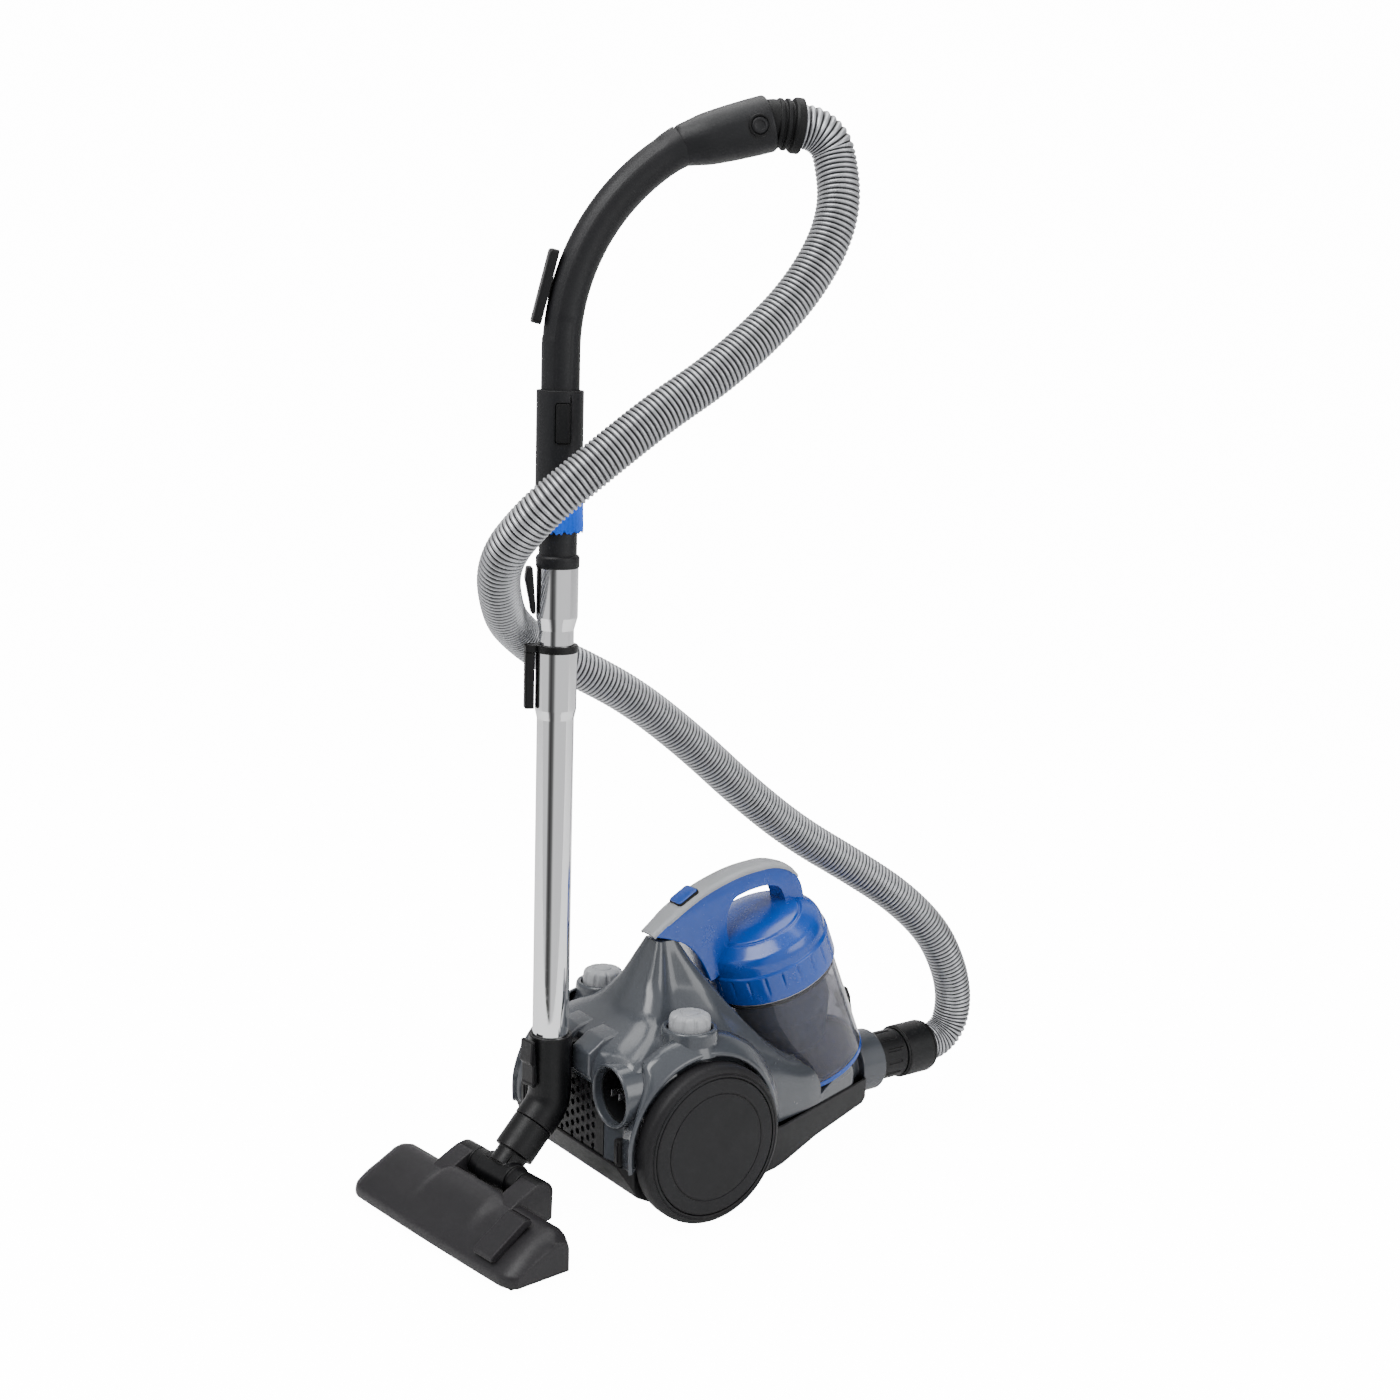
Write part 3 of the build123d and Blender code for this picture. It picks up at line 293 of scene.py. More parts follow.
# Moulded grain: fine spark-eroded texture as a height, and the cloudy change of gloss that goes with it.
grain, g_in, g_out = effect(
    "moulded_grain", [("Vector", V, None), ("Depth", F, 0.5), ("Gloss", F, 0.4)],
    [("Height", F), ("Roughness", F)])
g_size = grain.nodes.new("ShaderNodeVectorMath")
g_size.operation = "SCALE"
g_size.inputs["Scale"].default_value = 1000.0
grain.links.new(g_in.outputs["Vector"], g_size.inputs[0])
g_fine = noise(grain, g_size.outputs[0], 2.2, 3.0, 0.6)
g_broad = noise(grain, g_size.outputs[0], 0.035, 3.0, 0.55)
g_streak = noise(grain, g_size.outputs[0], 0.30, 4.0, 0.6)
grain.links.new(maths(grain, "MULTIPLY", g_fine.outputs[0], g_in.outputs["Depth"]), g_out.inputs["Height"])
g_cloud = maths(grain, "MULTIPLY", spread(grain, g_broad.outputs[0], 0.3, 0.7, -0.045, 0.045), 1.0)
g_smear = spread(grain, g_streak.outputs[0], 0.45, 0.7, 0.0, 0.05)
g_sum = maths(grain, "ADD", g_in.outputs["Gloss"], g_cloud)
grain.links.new(maths(grain, "ADD", g_sum, g_smear, True), g_out.inputs["Roughness"])

# Handling wear: a base colour drifts a little over the piece and takes a faint dust on faces that look up.
wear, k_in, k_out = effect(
    "handling_wear", [("Vector", V, None), ("Color", C, None), ("Drift", F, 0.12), ("Dust", F, 0.05)],
    [("Color", C)])
k_size = wear.nodes.new("ShaderNodeVectorMath")
k_size.operation = "SCALE"
k_size.inputs["Scale"].default_value = 1000.0
wear.links.new(k_in.outputs["Vector"], k_size.inputs[0])
k_cloud = noise(wear, k_size.outputs[0], 0.02, 4.0, 0.55)
k_speck = noise(wear, k_size.outputs[0], 0.55, 2.0, 0.5)
k_geo = wear.nodes.new("ShaderNodeNewGeometry")
k_sep = wear.nodes.new("ShaderNodeSeparateXYZ")
wear.links.new(k_geo.outputs["Normal"], k_sep.inputs[0])
k_lift = spread(wear, k_sep.outputs["Z"], 0.35, 1.0, 0.0, 1.0)
k_grime = spread(wear, k_speck.outputs[0], 0.42, 0.75, 0.0, 1.0)
k_dust = maths(wear, "MULTIPLY", maths(wear, "MULTIPLY", k_lift, k_grime), k_in.outputs["Dust"], True)
k_shade = maths(wear, "MULTIPLY", spread(wear, k_cloud.outputs[0], 0.3, 0.7, -1.0, 1.0),
                k_in.outputs["Drift"])
k_gain = maths(wear, "ADD", k_shade, 1.0)
k_mul = wear.nodes.new("ShaderNodeVectorMath")
k_mul.operation = "SCALE"
wear.links.new(k_in.outputs["Color"], k_mul.inputs[0])
wear.links.new(k_gain, k_mul.inputs["Scale"])
k_mix = wear.nodes.new("ShaderNodeMix")
k_mix.data_type = "RGBA"
k_mix.inputs["B"].default_value = (0.42, 0.40, 0.37, 1)
wear.links.new(k_dust, k_mix.inputs["Factor"])
wear.links.new(k_mul.outputs[0], k_mix.inputs["A"])
wear.links.new(k_mix.outputs["Result"], k_out.inputs["Color"])


def finish(name, colour, gloss=0.4, metal=0.0, depth=0.4, bump=0.0002, drift=0.08, dust=0.04, coat=0.0,
           **extra):
    """A moulded or metal finish: the wear group gives its colour, the grain group its roughness and bump."""
    material = bpy.data.materials.new(name)
    material.use_nodes = True
    tree = material.node_tree
    tree.nodes.clear()
    out = tree.nodes.new("ShaderNodeOutputMaterial")
    shader = tree.nodes.new("ShaderNodeBsdfPrincipled")
    coord = tree.nodes.new("ShaderNodeTexCoord")
    shader.inputs["Metallic"].default_value = metal
    shader.inputs["Coat Weight"].default_value = coat
    shader.inputs["Coat Roughness"].default_value = 0.12
    for label, value in extra.items():
        shader.inputs[label.replace("_", " ")].default_value = value
    worn = tree.nodes.new("ShaderNodeGroup")
    worn.node_tree = wear
    worn.inputs["Color"].default_value = (*colour, 1)
    worn.inputs["Drift"].default_value = drift
    worn.inputs["Dust"].default_value = dust
    moulded = tree.nodes.new("ShaderNodeGroup")
    moulded.node_tree = grain
    moulded.inputs["Depth"].default_value = depth
    moulded.inputs["Gloss"].default_value = gloss
    tree.links.new(coord.outputs["Object"], worn.inputs["Vector"])
    tree.links.new(coord.outputs["Object"], moulded.inputs["Vector"])
    tree.links.new(worn.outputs["Color"], shader.inputs["Base Color"])
    tree.links.new(moulded.outputs["Roughness"], shader.inputs["Roughness"])
    raised = tree.nodes.new("ShaderNodeBump")
    raised.inputs["Distance"].default_value = bump
    tree.links.new(moulded.outputs["Height"], raised.inputs["Height"])
    tree.links.new(raised.outputs["Normal"], shader.inputs["Normal"])
    tree.links.new(shader.outputs[0], out.inputs[0])
    return material


DULL = {"Specular_IOR_Level": 0.28}
casing_black = finish("casing_black", (0.006, 0.0062, 0.007), 0.40, depth=0.5, dust=0.0, **DULL)
casing_grey = finish("casing_grey", (0.052, 0.058, 0.068), 0.20, depth=0.12, bump=0.00005, coat=0.35,
                     dust=0.0, drift=0.05)
wheel_charcoal = finish("wheel_charcoal", (0.0085, 0.0083, 0.0096), 0.52, depth=0.6, dust=0.004, **DULL)
roller_rubber = finish("roller_rubber", (0.008, 0.008, 0.0085), 0.75, depth=1.0, **DULL)
steel = finish("steel", (0.55, 0.56, 0.57), 0.28, metal=1.0, depth=0.3, dust=0.0)
motor_metal = finish("motor_metal", (0.45, 0.46, 0.47), 0.45, metal=1.0, depth=0.8)
spring_steel = finish("spring_steel", (0.30, 0.31, 0.33), 0.35, metal=1.0)
reel_plastic = finish("reel_plastic", (0.45, 0.45, 0.43), 0.5)
cord_black = finish("cord_black", (0.005, 0.005, 0.0055), 0.45, depth=0.6, dust=0.0, **DULL)
knob_grey = finish("knob_grey", (0.34, 0.35, 0.365), 0.33, depth=0.3, dust=0.0)
blue_plastic = finish("blue_plastic", (0.002, 0.058, 0.36), 0.22, depth=0.10, bump=0.00004, coat=0.4,
                      dust=0.0, drift=0.05)
cyclone_blue = finish("cyclone_blue", (0.012, 0.075, 0.26), 0.4, dust=0.0)
seal_rubber = finish("seal_rubber", (0.01, 0.01, 0.011), 0.6, dust=0.0, **DULL)
filter_white = finish("filter_white", (0.5, 0.5, 0.48), 0.9, depth=1.2, drift=0.15, dust=0.0)
fitting_dark = finish("fitting_dark", (0.0045, 0.0045, 0.0052), 0.36, depth=0.5, dust=0.0, **DULL)
handle_dark = finish("handle_dark", (0.0095, 0.0095, 0.0110), 0.42, depth=0.6, dust=0.0, **DULL)
head_charcoal = finish("head_charcoal", (0.0175, 0.0165, 0.0185), 0.38, depth=0.5, dust=0.006, **DULL)
sole_black = finish("sole_black", (0.006, 0.006, 0.0065), 0.5, **DULL)
tube_chrome = finish("tube_chrome", (0.86, 0.865, 0.875), 0.05, metal=1.0, depth=0.02, bump=0.00001,
                     drift=0.01, dust=0.0)
bristle_blue = finish("bristle_blue", (0.003, 0.13, 0.80), 0.5, depth=0.2, dust=0.0)
groove_black = finish("groove_black", (0.003, 0.003, 0.0035), 0.6, dust=0.0, **DULL)
smoked_clear = finish("smoked_clear", (0.42, 0.42, 0.46), 0.04, depth=0.02, bump=0.000005, drift=0.02,
                      dust=0.0,
                      Transmission_Weight=0.90, IOR=1.35)

# Hose: the hose's own silver on the crests and painted shade, near black, in the valleys, following the ribs
# by the piece's own "crest" attribute.
hose_silver = finish("hose_silver", (0.50, 0.51, 0.53), 0.28, metal=0.55, depth=0.3, dust=0.0)
h_tree = hose_silver.node_tree
h_attr = h_tree.nodes.new("ShaderNodeAttribute")
h_attr.attribute_name = "crest"
h_valley_shade = h_tree.nodes.new("ShaderNodeMix")
h_valley_shade.data_type = "RGBA"
# Colour A is painted shade: the near-black that fills the valleys between the ribs.
h_valley_shade.inputs["A"].default_value = (0.010, 0.010, 0.012, 1)
h_shader = next(n for n in h_tree.nodes if n.type == "BSDF_PRINCIPLED")
h_worn = next(n for n in h_tree.nodes if n.type == "GROUP" and n.node_tree == wear)
h_tree.links.new(spread(h_tree, h_attr.outputs["Fac"], 0.30, 0.85, 0.0, 1.0), h_valley_shade.inputs["Factor"])
h_tree.links.new(h_worn.outputs["Color"], h_valley_shade.inputs["B"])
h_tree.links.new(h_valley_shade.outputs["Result"], h_shader.inputs["Base Color"])


# ---------------------------------------------------------------- making pieces
def dress(thing, body, material, stands_for=(), crease=38.0):
    """Smooth shading with sharp edges over the crease angle, a finish, a body and the nodes replaced."""
    mesh = thing.data
    mesh.materials.clear()
    mesh.materials.append(material)
    mesh.polygons.foreach_set("use_smooth", np.ones(len(mesh.polygons), bool))
    mesh.set_sharp_from_angle(angle=math.radians(crease))
    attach(thing, body)
    if stands_for:
        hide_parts(*stands_for)
    return thing


def tidy(thing, merge=1e-6):
    """Doubled points merged, and all faces turned outwards."""
    work = bmesh.new()
    work.from_mesh(thing.data)
    bmesh.ops.remove_doubles(work, verts=work.verts, dist=merge)
    bmesh.ops.dissolve_degenerate(work, edges=work.edges, dist=1e-7)
    bmesh.ops.recalc_face_normals(work, faces=work.faces)
    work.to_mesh(thing.data)
    work.free()
    return thing


def rounded(points, radius, steps=4, closed=False):
    """A line of corners with each inner corner swapped for a short curve: the quadratic
    curve from radius before the corner to radius after it, with the corner as its control."""
    p = np.asarray(points, float)
    n = len(p)
    inner = range(n) if closed else range(1, n - 1)
    radii = np.broadcast_to(radius, n)
    out = [] if closed else [p[:1]]
    t = np.linspace(0, 1, steps + 1)[:, None]
    for i in inner:
        a, b, c = p[i - 1], p[i], p[(i + 1) % n]
        la, lc = np.linalg.norm(a - b), np.linalg.norm(c - b)
        r = min(radii[i], 0.48 * la, 0.48 * lc)
        start, end = b + (a - b) / la * r, b + (c - b) / lc * r
        out.append((1 - t) ** 2 * start + 2 * t * (1 - t) * b + t**2 * end)
    if not closed:
        out.append(p[-1:])
    return np.vstack(out)


def turned(name, seat, outline, around=96, ripple=None):
    """A surface of revolution: radius times cosine and sine of the angle, height along the
    seat's z. ripple(radius, height, angle) may change the radius."""
    outline = np.asarray(outline, float)
    angle = np.linspace(0, 2 * math.pi, around, endpoint=False)
    r, a = np.meshgrid(outline[:, 0], angle, indexing="ij")
    h = np.broadcast_to(outline[:, 1:2], r.shape)
    if ripple is not None:
        r = ripple(r, h, a)
    points = np.stack([r * np.cos(a), r * np.sin(a), h], -1)
    thing = mesh_object(name, row(seat.at(points)).reshape(-1, 3), grid_faces(len(outline), around))
    return tidy(thing)


def lofted(name, rings, ends=True):
    """A skin over rings of points, (rings, points, 3) in millimetres, with flat ends."""
    rings = np.asarray(rings, float)
    n, m = rings.shape[:2]
    faces = grid_faces(n, m)
    if ends:
        faces += [list(range(m))[::-1], list(range((n - 1) * m, n * m))]
    return tidy(mesh_object(name, row(rings).reshape(-1, 3), faces))


def pressed(name, seat, outline, low, high, edge=1.0, steps=3):
    """A flat outline, a closed (x, y) line, raised from low to high with its two rims rounded
    inwards by edge: the outline scaled towards its own centre over a quarter circle."""
    line = np.asarray(outline, float)
    middle = line.mean(0)
    reach = np.linalg.norm(line - middle, axis=1).mean()
    a = np.linspace(0, math.pi / 2, steps + 1)
    inset = edge * (1 - np.cos(a))
    rise = edge * np.sin(a)
    heights = np.concatenate([low + edge - rise[::-1], high - edge + rise])
    insets = np.concatenate([inset[::-1], inset])
    shrink = 1 - insets / reach
    flat = middle + (line - middle)[None] * shrink[:, None, None]
    points = np.concatenate([flat, np.broadcast_to(heights[:, None, None], (*flat.shape[:2], 1))], -1)
    return lofted(name, seat.at(points))


def box_line(centre, size, corner, steps=5):
    """A rounded rectangle as a closed line."""
    x, y = centre
    a, b = size[0] / 2, size[1] / 2
    return rounded([(x - a, y - b), (x + a, y - b), (x + a, y + b), (x - a, y + b)], corner, steps, True)


def bevelled(thing, width, segments=2, angle=32.0):
    """Rounds the piece's sharp edges by that many millimetres; its shading leans to the larger faces."""
    bevel = thing.modifiers.new("edges", "BEVEL")
    bevel.width = width * 0.001
    bevel.segments = segments
    bevel.limit_method = "ANGLE"
    bevel.angle_limit = math.radians(angle)
    bevel.use_clamp_overlap = False
    bevel.harden_normals = True
    return thing


def softened(node, body, material, width=0.6, segments=2):
    """A merged copy of a CAD node with its sharp edges rounded, standing for that node."""
    copy = bpy.data.objects.new("soft_" + node, nodes[node].data.copy())
    bpy.context.scene.collection.objects.link(copy)
    work = bmesh.new()
    work.from_mesh(copy.data)
    bmesh.ops.remove_doubles(work, verts=work.verts, dist=1e-6)
    bmesh.ops.dissolve_limit(work, angle_limit=math.radians(1.0), verts=work.verts, edges=work.edges)
    work.to_mesh(copy.data)
    work.free()
    for stale in [a.name for a in copy.data.attributes if a.name.startswith(("_FK", "custom_normal"))]:
        copy.data.attributes.remove(copy.data.attributes[stale])
    for key in list(copy.keys()):
        del copy[key]
    bevelled(copy, width, segments)
    return dress(copy, body, material, [node], 30.0)


body_of_node = {n: b for b, members in frame["record"]["behaviour"]["bodies"].items() for n in members}
slot_of_node = {p["node"]: p["material_slot"] for p in frame["record"]["subparts"]}
finishes = dict(
    casing_black=casing_black, casing_grey=casing_grey, wheel_charcoal=wheel_charcoal,
    roller_rubber=roller_rubber,
    steel=steel, motor_metal=motor_metal, spring_steel=spring_steel, reel_plastic=reel_plastic,
    cord_black=cord_black, knob_grey=knob_grey, blue_plastic=blue_plastic, smoked_clear=smoked_clear,
    cyclone_blue=cyclone_blue, seal_rubber=seal_rubber, filter_white=filter_white, fitting_dark=fitting_dark,
    tube_chrome=tube_chrome, handle_dark=handle_dark, brush_blue=bristle_blue, head_charcoal=head_charcoal,
    sole_black=sole_black, hose_silver=hose_silver,
)
for node, thing in nodes.items():
    thing.data.materials.clear()
    thing.data.materials.append(finishes[slot_of_node[node]])
floor_finish = bpy.data.materials.new("studio_white")
floor_finish.use_nodes = True
f_tree = floor_finish.node_tree
f_shader = next(n for n in f_tree.nodes if n.type == "BSDF_PRINCIPLED")
f_coord = f_tree.nodes.new("ShaderNodeTexCoord")
f_noise = noise(f_tree, f_coord.outputs["Object"], 40.0, 4.0)
f_ramp = f_tree.nodes.new("ShaderNodeMix")
f_ramp.data_type = "RGBA"
f_ramp.inputs["A"].default_value = (0.90, 0.90, 0.905, 1)
f_ramp.inputs["B"].default_value = (0.93, 0.93, 0.93, 1)
f_tree.links.new(f_noise.outputs[0], f_ramp.inputs["Factor"])
f_tree.links.new(f_ramp.outputs["Result"], f_shader.inputs["Base Color"])
f_shader.inputs["Roughness"].default_value = 0.9
floor.data.materials.append(floor_finish)

# ---------------------------------------------------------------- hose
hose_join = (-170.5, 2.5, 613)
lower_route = [
    (375, 0, 67), (388, 0, 67), (401, 0, 72), (411, -1, 82), (416, -2, 97), (415, -4, 122), (404, -5, 156),
    (379, -3, 200), (336, 9, 243), (281, 25, 281), (216, 41, 322), (151, 51, 374), (86, 56, 432),
    (17, 57, 484), (-42, 62, 517), (-82, 68, 536), (-119, 55, 560), (-154, 25, 586), hose_join,
]
# The handle's barrel leaves the top of a bend of 60 degrees, and the hose leaves the collar on its end.
BEND_RADIUS, BEND_HEIGHT, BEND = 212.0, 826.0, math.radians(60.0)
bend_end = WAND.at([BEND_RADIUS - BEND_RADIUS * math.cos(BEND), 0,
                    BEND_HEIGHT + BEND_RADIUS * math.sin(BEND)])
tilt, droop = math.radians(16.0), math.radians(-4.0)
BARREL = Seat(bend_end, -WAND.y, WAND.x * math.cos(tilt) + WAND.z * math.sin(tilt))
COLLAR = Seat(BARREL.at([0, 0, 84.5]), -WAND.y, WAND.x * math.cos(droop) + WAND.z * math.sin(droop))
collar_face = COLLAR.at([0, 0, 27.5])
upper_route = [
    hose_join, (-187, -20, 640), (-172, -60, 686), (-143, -77, 715), (-106, -88, 746), (-63, -96, 778),
    (-16, -105, 808), (28, -110, 842), (69, -115, 881), (100, -117, 925), (115, -114, 966),
]
upper_route += [tuple(collar_face + COLLAR.z * reach - UP * below) for reach,
                below in ((33.2, 20.3), (27.2, 9.9), (18.5, 3.1), (9, 0), (0, 0))]


def smooth_line(name, route, spacing):
    """Evenly spaced points, in metres, along the smooth curve that has the route as its control points."""
    curve = bpy.data.curves.new(name, "CURVE")
    curve.dimensions = "3D"
    curve.resolution_u = 24
    spline = curve.splines.new("NURBS")
    spline.points.add(len(route) - 1)
    spline.points.foreach_set("co", np.column_stack([row(route), np.ones(len(route))]).ravel())
    spline.order_u = 3
    spline.use_endpoint_u = True
    holder = bpy.data.objects.new(name, curve)
    bpy.context.scene.collection.objects.link(holder)
    line = bpy.data.meshes.new_from_object(holder)
    points = np.empty(len(line.vertices) * 3)
    line.vertices.foreach_get("co", points)
    points = points.reshape(-1, 3)
    bpy.data.objects.remove(holder)
    bpy.data.curves.remove(curve)
    bpy.data.meshes.remove(line)
    along = np.concatenate([[0], np.cumsum(np.linalg.norm(np.diff(points, axis=0), axis=1))])
    count = int(round(along[-1] / spacing)) + 1
    even = np.linspace(0, along[-1], count)
    return np.column_stack([np.interp(even, along, points[:, k]) for k in range(3)]), even


def carried_frames(points):
    """A side and an up direction square to the line at each point, turned as little as possible along it."""
    tangent = np.gradient(points, axis=0)
    tangent /= np.linalg.norm(tangent, axis=1)[:, None]
    first = np.cross(tangent[0], UP if abs(tangent[0][2]) < 0.9 else FORWARD)
    sides = [first / np.linalg.norm(first)]
    for t in tangent[1:]:
        s = sides[-1] - t * (sides[-1] @ t)
        sides.append(s / np.linalg.norm(s))
    sides = np.array(sides)
    return sides, np.cross(tangent, sides)


RIB = 0.0047


def ribbed_hose(name, route, body_a, body_b, node):
    """A ribbed tube: at each point of the line the radius is 18.0 mm plus 2 mm times the
    square root of a raised cosine of the distance along it, once a rib."""
    per_rib = 8
    points, along = smooth_line(name + "_line", route, RIB / per_rib)
    ribs = round(along[-1] / RIB)
    phase = along / along[-1] * ribs
    crest = np.sqrt(np.clip(0.5 - 0.5 * np.cos(2 * math.pi * phase), 0, 1))
    radius = 0.0179 + 0.0021 * crest
    sides, ups = carried_frames(points)
    around = 26
    a = np.linspace(0, 2 * math.pi, around, endpoint=False)
    ring = sides[:, None, :] * np.cos(a)[None, :, None] + ups[:, None, :] * np.sin(a)[None, :, None]
    skin = points[:, None, :] + ring * radius[:, None, None]
    throat = points[[0, -1], None, :] + ring[[0, -1]] * 0.0168
    grid = np.concatenate([throat[:1], skin, throat[1:]])
    ends = [list(range(around))[::-1], list(range((len(grid) - 1) * around, len(grid) * around))]
    thing = mesh_object(name, grid.reshape(-1, 3), grid_faces(len(grid), around) + ends)
    # The crest level also tells the hose finish where to paint shade in the valleys.
    level = np.repeat(np.concatenate([[0], crest, [0]]), around).astype(np.float32)
    thing.data.attributes.new("crest", "FLOAT", "POINT").data.foreach_set("value", level)
    work = bmesh.new()
    work.from_mesh(thing.data)
    bmesh.ops.recalc_face_normals(work, faces=work.faces)
    work.to_mesh(thing.data)
    work.free()
    thing.data.materials.append(hose_silver)
    thing.data.polygons.foreach_set("use_smooth", np.ones(len(thing.data.polygons), bool))
    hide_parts(node)
    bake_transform(thing, body_a, body_b, points[0], points[-1])
    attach(thing, body_a)
    return thing, float(along[-1])


ribbed_hose("ribbed_hose_lower", lower_route, "canister", "lower_wand", "hose_lower")
ribbed_hose("ribbed_hose_upper", upper_route, "lower_wand", "upper_wand", "hose_upper")

# ---------------------------------------------------------------- casing
def cutter(seat, radius, low, high, around=128):
    """A plain round bar used only to cut a pocket; it is removed afterwards."""
    return turned("cutter", seat, [(0, low), (radius, low), (radius, high), (0, high)], around)


def cut(thing, tools):
    """The thing with each tool's volume taken out of it."""
    for tool in tools:
        change = thing.modifiers.new("cut", "BOOLEAN")
        change.operation = "DIFFERENCE"
        change.solver = "EXACT"
        change.object = tool
    graph = bpy.context.evaluated_depsgraph_get()
    made = bpy.data.meshes.new_from_object(thing.evaluated_get(graph))
    thing.modifiers.clear()
    thing.data = made
    for tool in tools:
        bpy.data.objects.remove(tool)
    return thing


# Control lines of the casing, one from the top ridge down to the split for each bearing,
# from the rear round the right-hand side to the nose.
casing_lines = np.array([
    [(3, 0, 252), (-3, 0, 240), (-19, 0, 212), (-38, 0, 186), (-60, 0, 175), (-78, 0, 168), (-86, 0, 152),
     (-86, 0, 64)],
    [(5, -9, 252), (-1, -15, 239), (-15, -24, 212), (-33, -38, 187), (-58, -50, 176), (-77, -58, 167),
     (-86, -60, 151), (-86, -60, 64)],
    [(8, -13, 251), (5, -20, 237), (-4, -33, 210), (-22, -52, 187), (-48, -72, 174), (-70, -86, 161),
     (-80, -92, 146), (-80, -92, 64)],
    [(15, -12, 251), (14, -16, 236), (11, -27, 208), (5, -45, 186), (0, -72, 176), (0, -88, 165),
     (0, -94, 148), (0, -94, 64)],
    [(24, -13, 251), (28, -21, 236), (40, -38, 208), (50, -56, 182), (60, -74, 160), (68, -86, 138),
     (74, -91, 116), (76, -91, 64)],
    [(29, -11, 250), (38, -20, 232), (66, -46, 190), (98, -62, 150), (126, -72, 120), (150, -74, 102),
     (160, -74, 86), (164, -70, 64)],
    [(31, -7, 250), (50, -14, 220), (100, -36, 150), (150, -52, 112), (190, -56, 101), (225, -50, 97),
     (240, -46, 84), (243, -43, 64)],
    [(32, 0, 250), (60, 0, 208), (110, 0, 140), (163, 0, 84), (210, 0, 92), (250, 0, 102), (264, 0, 96),
     (264, 0, 64)],
], float)
mirror = np.array([1, -1, 1])
whole = np.concatenate([casing_lines, casing_lines[-2:0:-1] * mirror])
rows_down = np.stack([rounded(line, 9.0, 5) for line in whole])
around_rings = np.stack([rounded(rows_down[:, k], 9.0, 5, True) for k in range(rows_down.shape[1])])
casing_top = lofted("casing_top", around_rings)
knob_seats = [Seat((0, y, 0), FORWARD, UP) for y in (-77, 77)]
casing_top = cut(casing_top, [
    cutter(CUP, 73.0, -3.5, 300), cutter(PORT, 29.5, -140, -30), cutter(knob_seats[0], 24.5, 166, 300),
    cutter(knob_seats[1], 24.5, 166, 300),
    lofted("cutter", [[(x, s * 6.5, z) for x, s in ((-120, -1), (-74, -1), (-74, 1),
        (-120, 1))] for z in (136, 220)]),
    lofted("cutter", [[(x, y, z) for y, z in ((-60, 60), (60, 60), (60, 132), (-60, 132))] for x in (-120,
        -83)]),
    cutter(INLET, 24.3, 236, 300, 64),
])
bevelled(casing_top, 0.7, 2, 40)
dress(casing_top, "canister", casing_grey, ["upper_shell"], 40)

# Flared arches over the wheels: each (radius, outwards) profile is carried round the axle.
for name, seat in (("left", LEFT), ("right", RIGHT)):
    flare = rounded([(83.4, 90), (83.4, 106.5), (84.6, 108.4), (88, 108), (95, 101), (101, 94), (104, 86)],
                    2.5, 4)
    angle = np.radians(np.linspace(-10, 190, 90))
    radius, spin = np.meshgrid(flare[:, 0], angle, indexing="ij")
    x = radius * np.cos(spin) * (1 if name == "left" else -1)
    z = radius * np.sin(spin)
    y = np.broadcast_to(flare[:, 1:2], x.shape) * (1 if name == "left" else -1)
    limit = 1 - np.clip((-x - 60) / 60, 0, 1) * np.clip((radius - 90) / 20, 0, 1)
    points = np.stack([np.maximum(x * limit, -88.5), y, z + 79.5], -1)
    arch = mesh_object("wheel_arch_" + name, row(points).reshape(-1, 3),
                       grid_faces(*x.shape, close_columns=False))
    tidy(arch)
    thick = arch.modifiers.new("wall", "SOLIDIFY")
    thick.thickness = 0.0018
    thick.offset = -1
    dress(arch, "canister", casing_grey, (), 50)

port_tube = turned("port_tube", PORT, rounded(
    [(27.4, -32), (27.4, -85), (28.2, -87), (30.2, -87), (31.2, -85), (31.6, -62), (35, -40), (36, -30)],
    1.2, 3))
dress(port_tube, "canister", casing_grey)
for side_name, seat, node in (("right", knob_seats[0], "power_button"),
                              ("left", knob_seats[1], "rewind_button")):
    collar = turned("knob_collar_" + side_name, seat, rounded(
        [(22, 162), (22, 184.5), (23, 186.6), (26, 186.6), (27.4, 184.6), (28.4, 173), (33, 163), (27, 160),
         (22, 162)], 1.2, 3))
    dress(collar, "canister", casing_grey)
    outline = rounded([
        (0, 176), (20.6, 176), (20.6, 193), (19.2, 198), (14, 199.8), (10.2, 200.2), (9.6, 199.4),
        (8.8, 199.4),
        (8.2, 200.4), (0, 201)], [0, 0.5, 2, 3, 2, 0.4, 0.4, 0.4, 0.4, 0], 4)

    def scallops(r, h, a):
        """Ten shallow hollows round the rim: a raised cosine of ten times the angle, fading out below."""
        hollow = np.clip(np.cos(10 * a) * 1.6 - 0.6, 0, 1)
        fade = np.clip((h - 184) / 4, 0, 1) * np.clip((r - 12) / 6, 0, 1)
        return r - 1.9 * hollow * fade
    knob = turned("knob_" + side_name, seat, outline, 200, scallops)
    dress(knob, "power_knob" if side_name == "right" else "rewind_knob", knob_grey, [node], 50)

hood_side = rounded([(-52, 178), (-72, 174), (-90, 162), (-90, 139), (-85, 133), (-52, 133)], 2.0, 4, True)
for side_name, low, high in (("right", 7.2, 38), ("left", -38, -7.2)):
    cheek = pressed("slot_cheek_" + side_name, SIDE, hood_side, low, high, 2.2, 4)
    dress(cheek, "canister", casing_grey, (), 45)
for number, (y, half) in enumerate(((-86, 5.5), (86, 5.5))):
    frame_line = box_line((y, 79), (2 * half, 26), 3)
    vent = pressed("side_vent_%d" % number, Seat((0, 0, 0), (0, 1, 0), FORWARD), frame_line, -87.4, -80, 0.8)
    dress(vent, "canister", groove_black)
    inner = pressed("side_vent_bar_%d" % number, Seat((0, 0, 0), (0, 1, 0), FORWARD),
                    box_line((y, 79), (3.4, 20), 1.5), -88.6, -82, 0.6)
    dress(inner, "canister", fitting_dark)

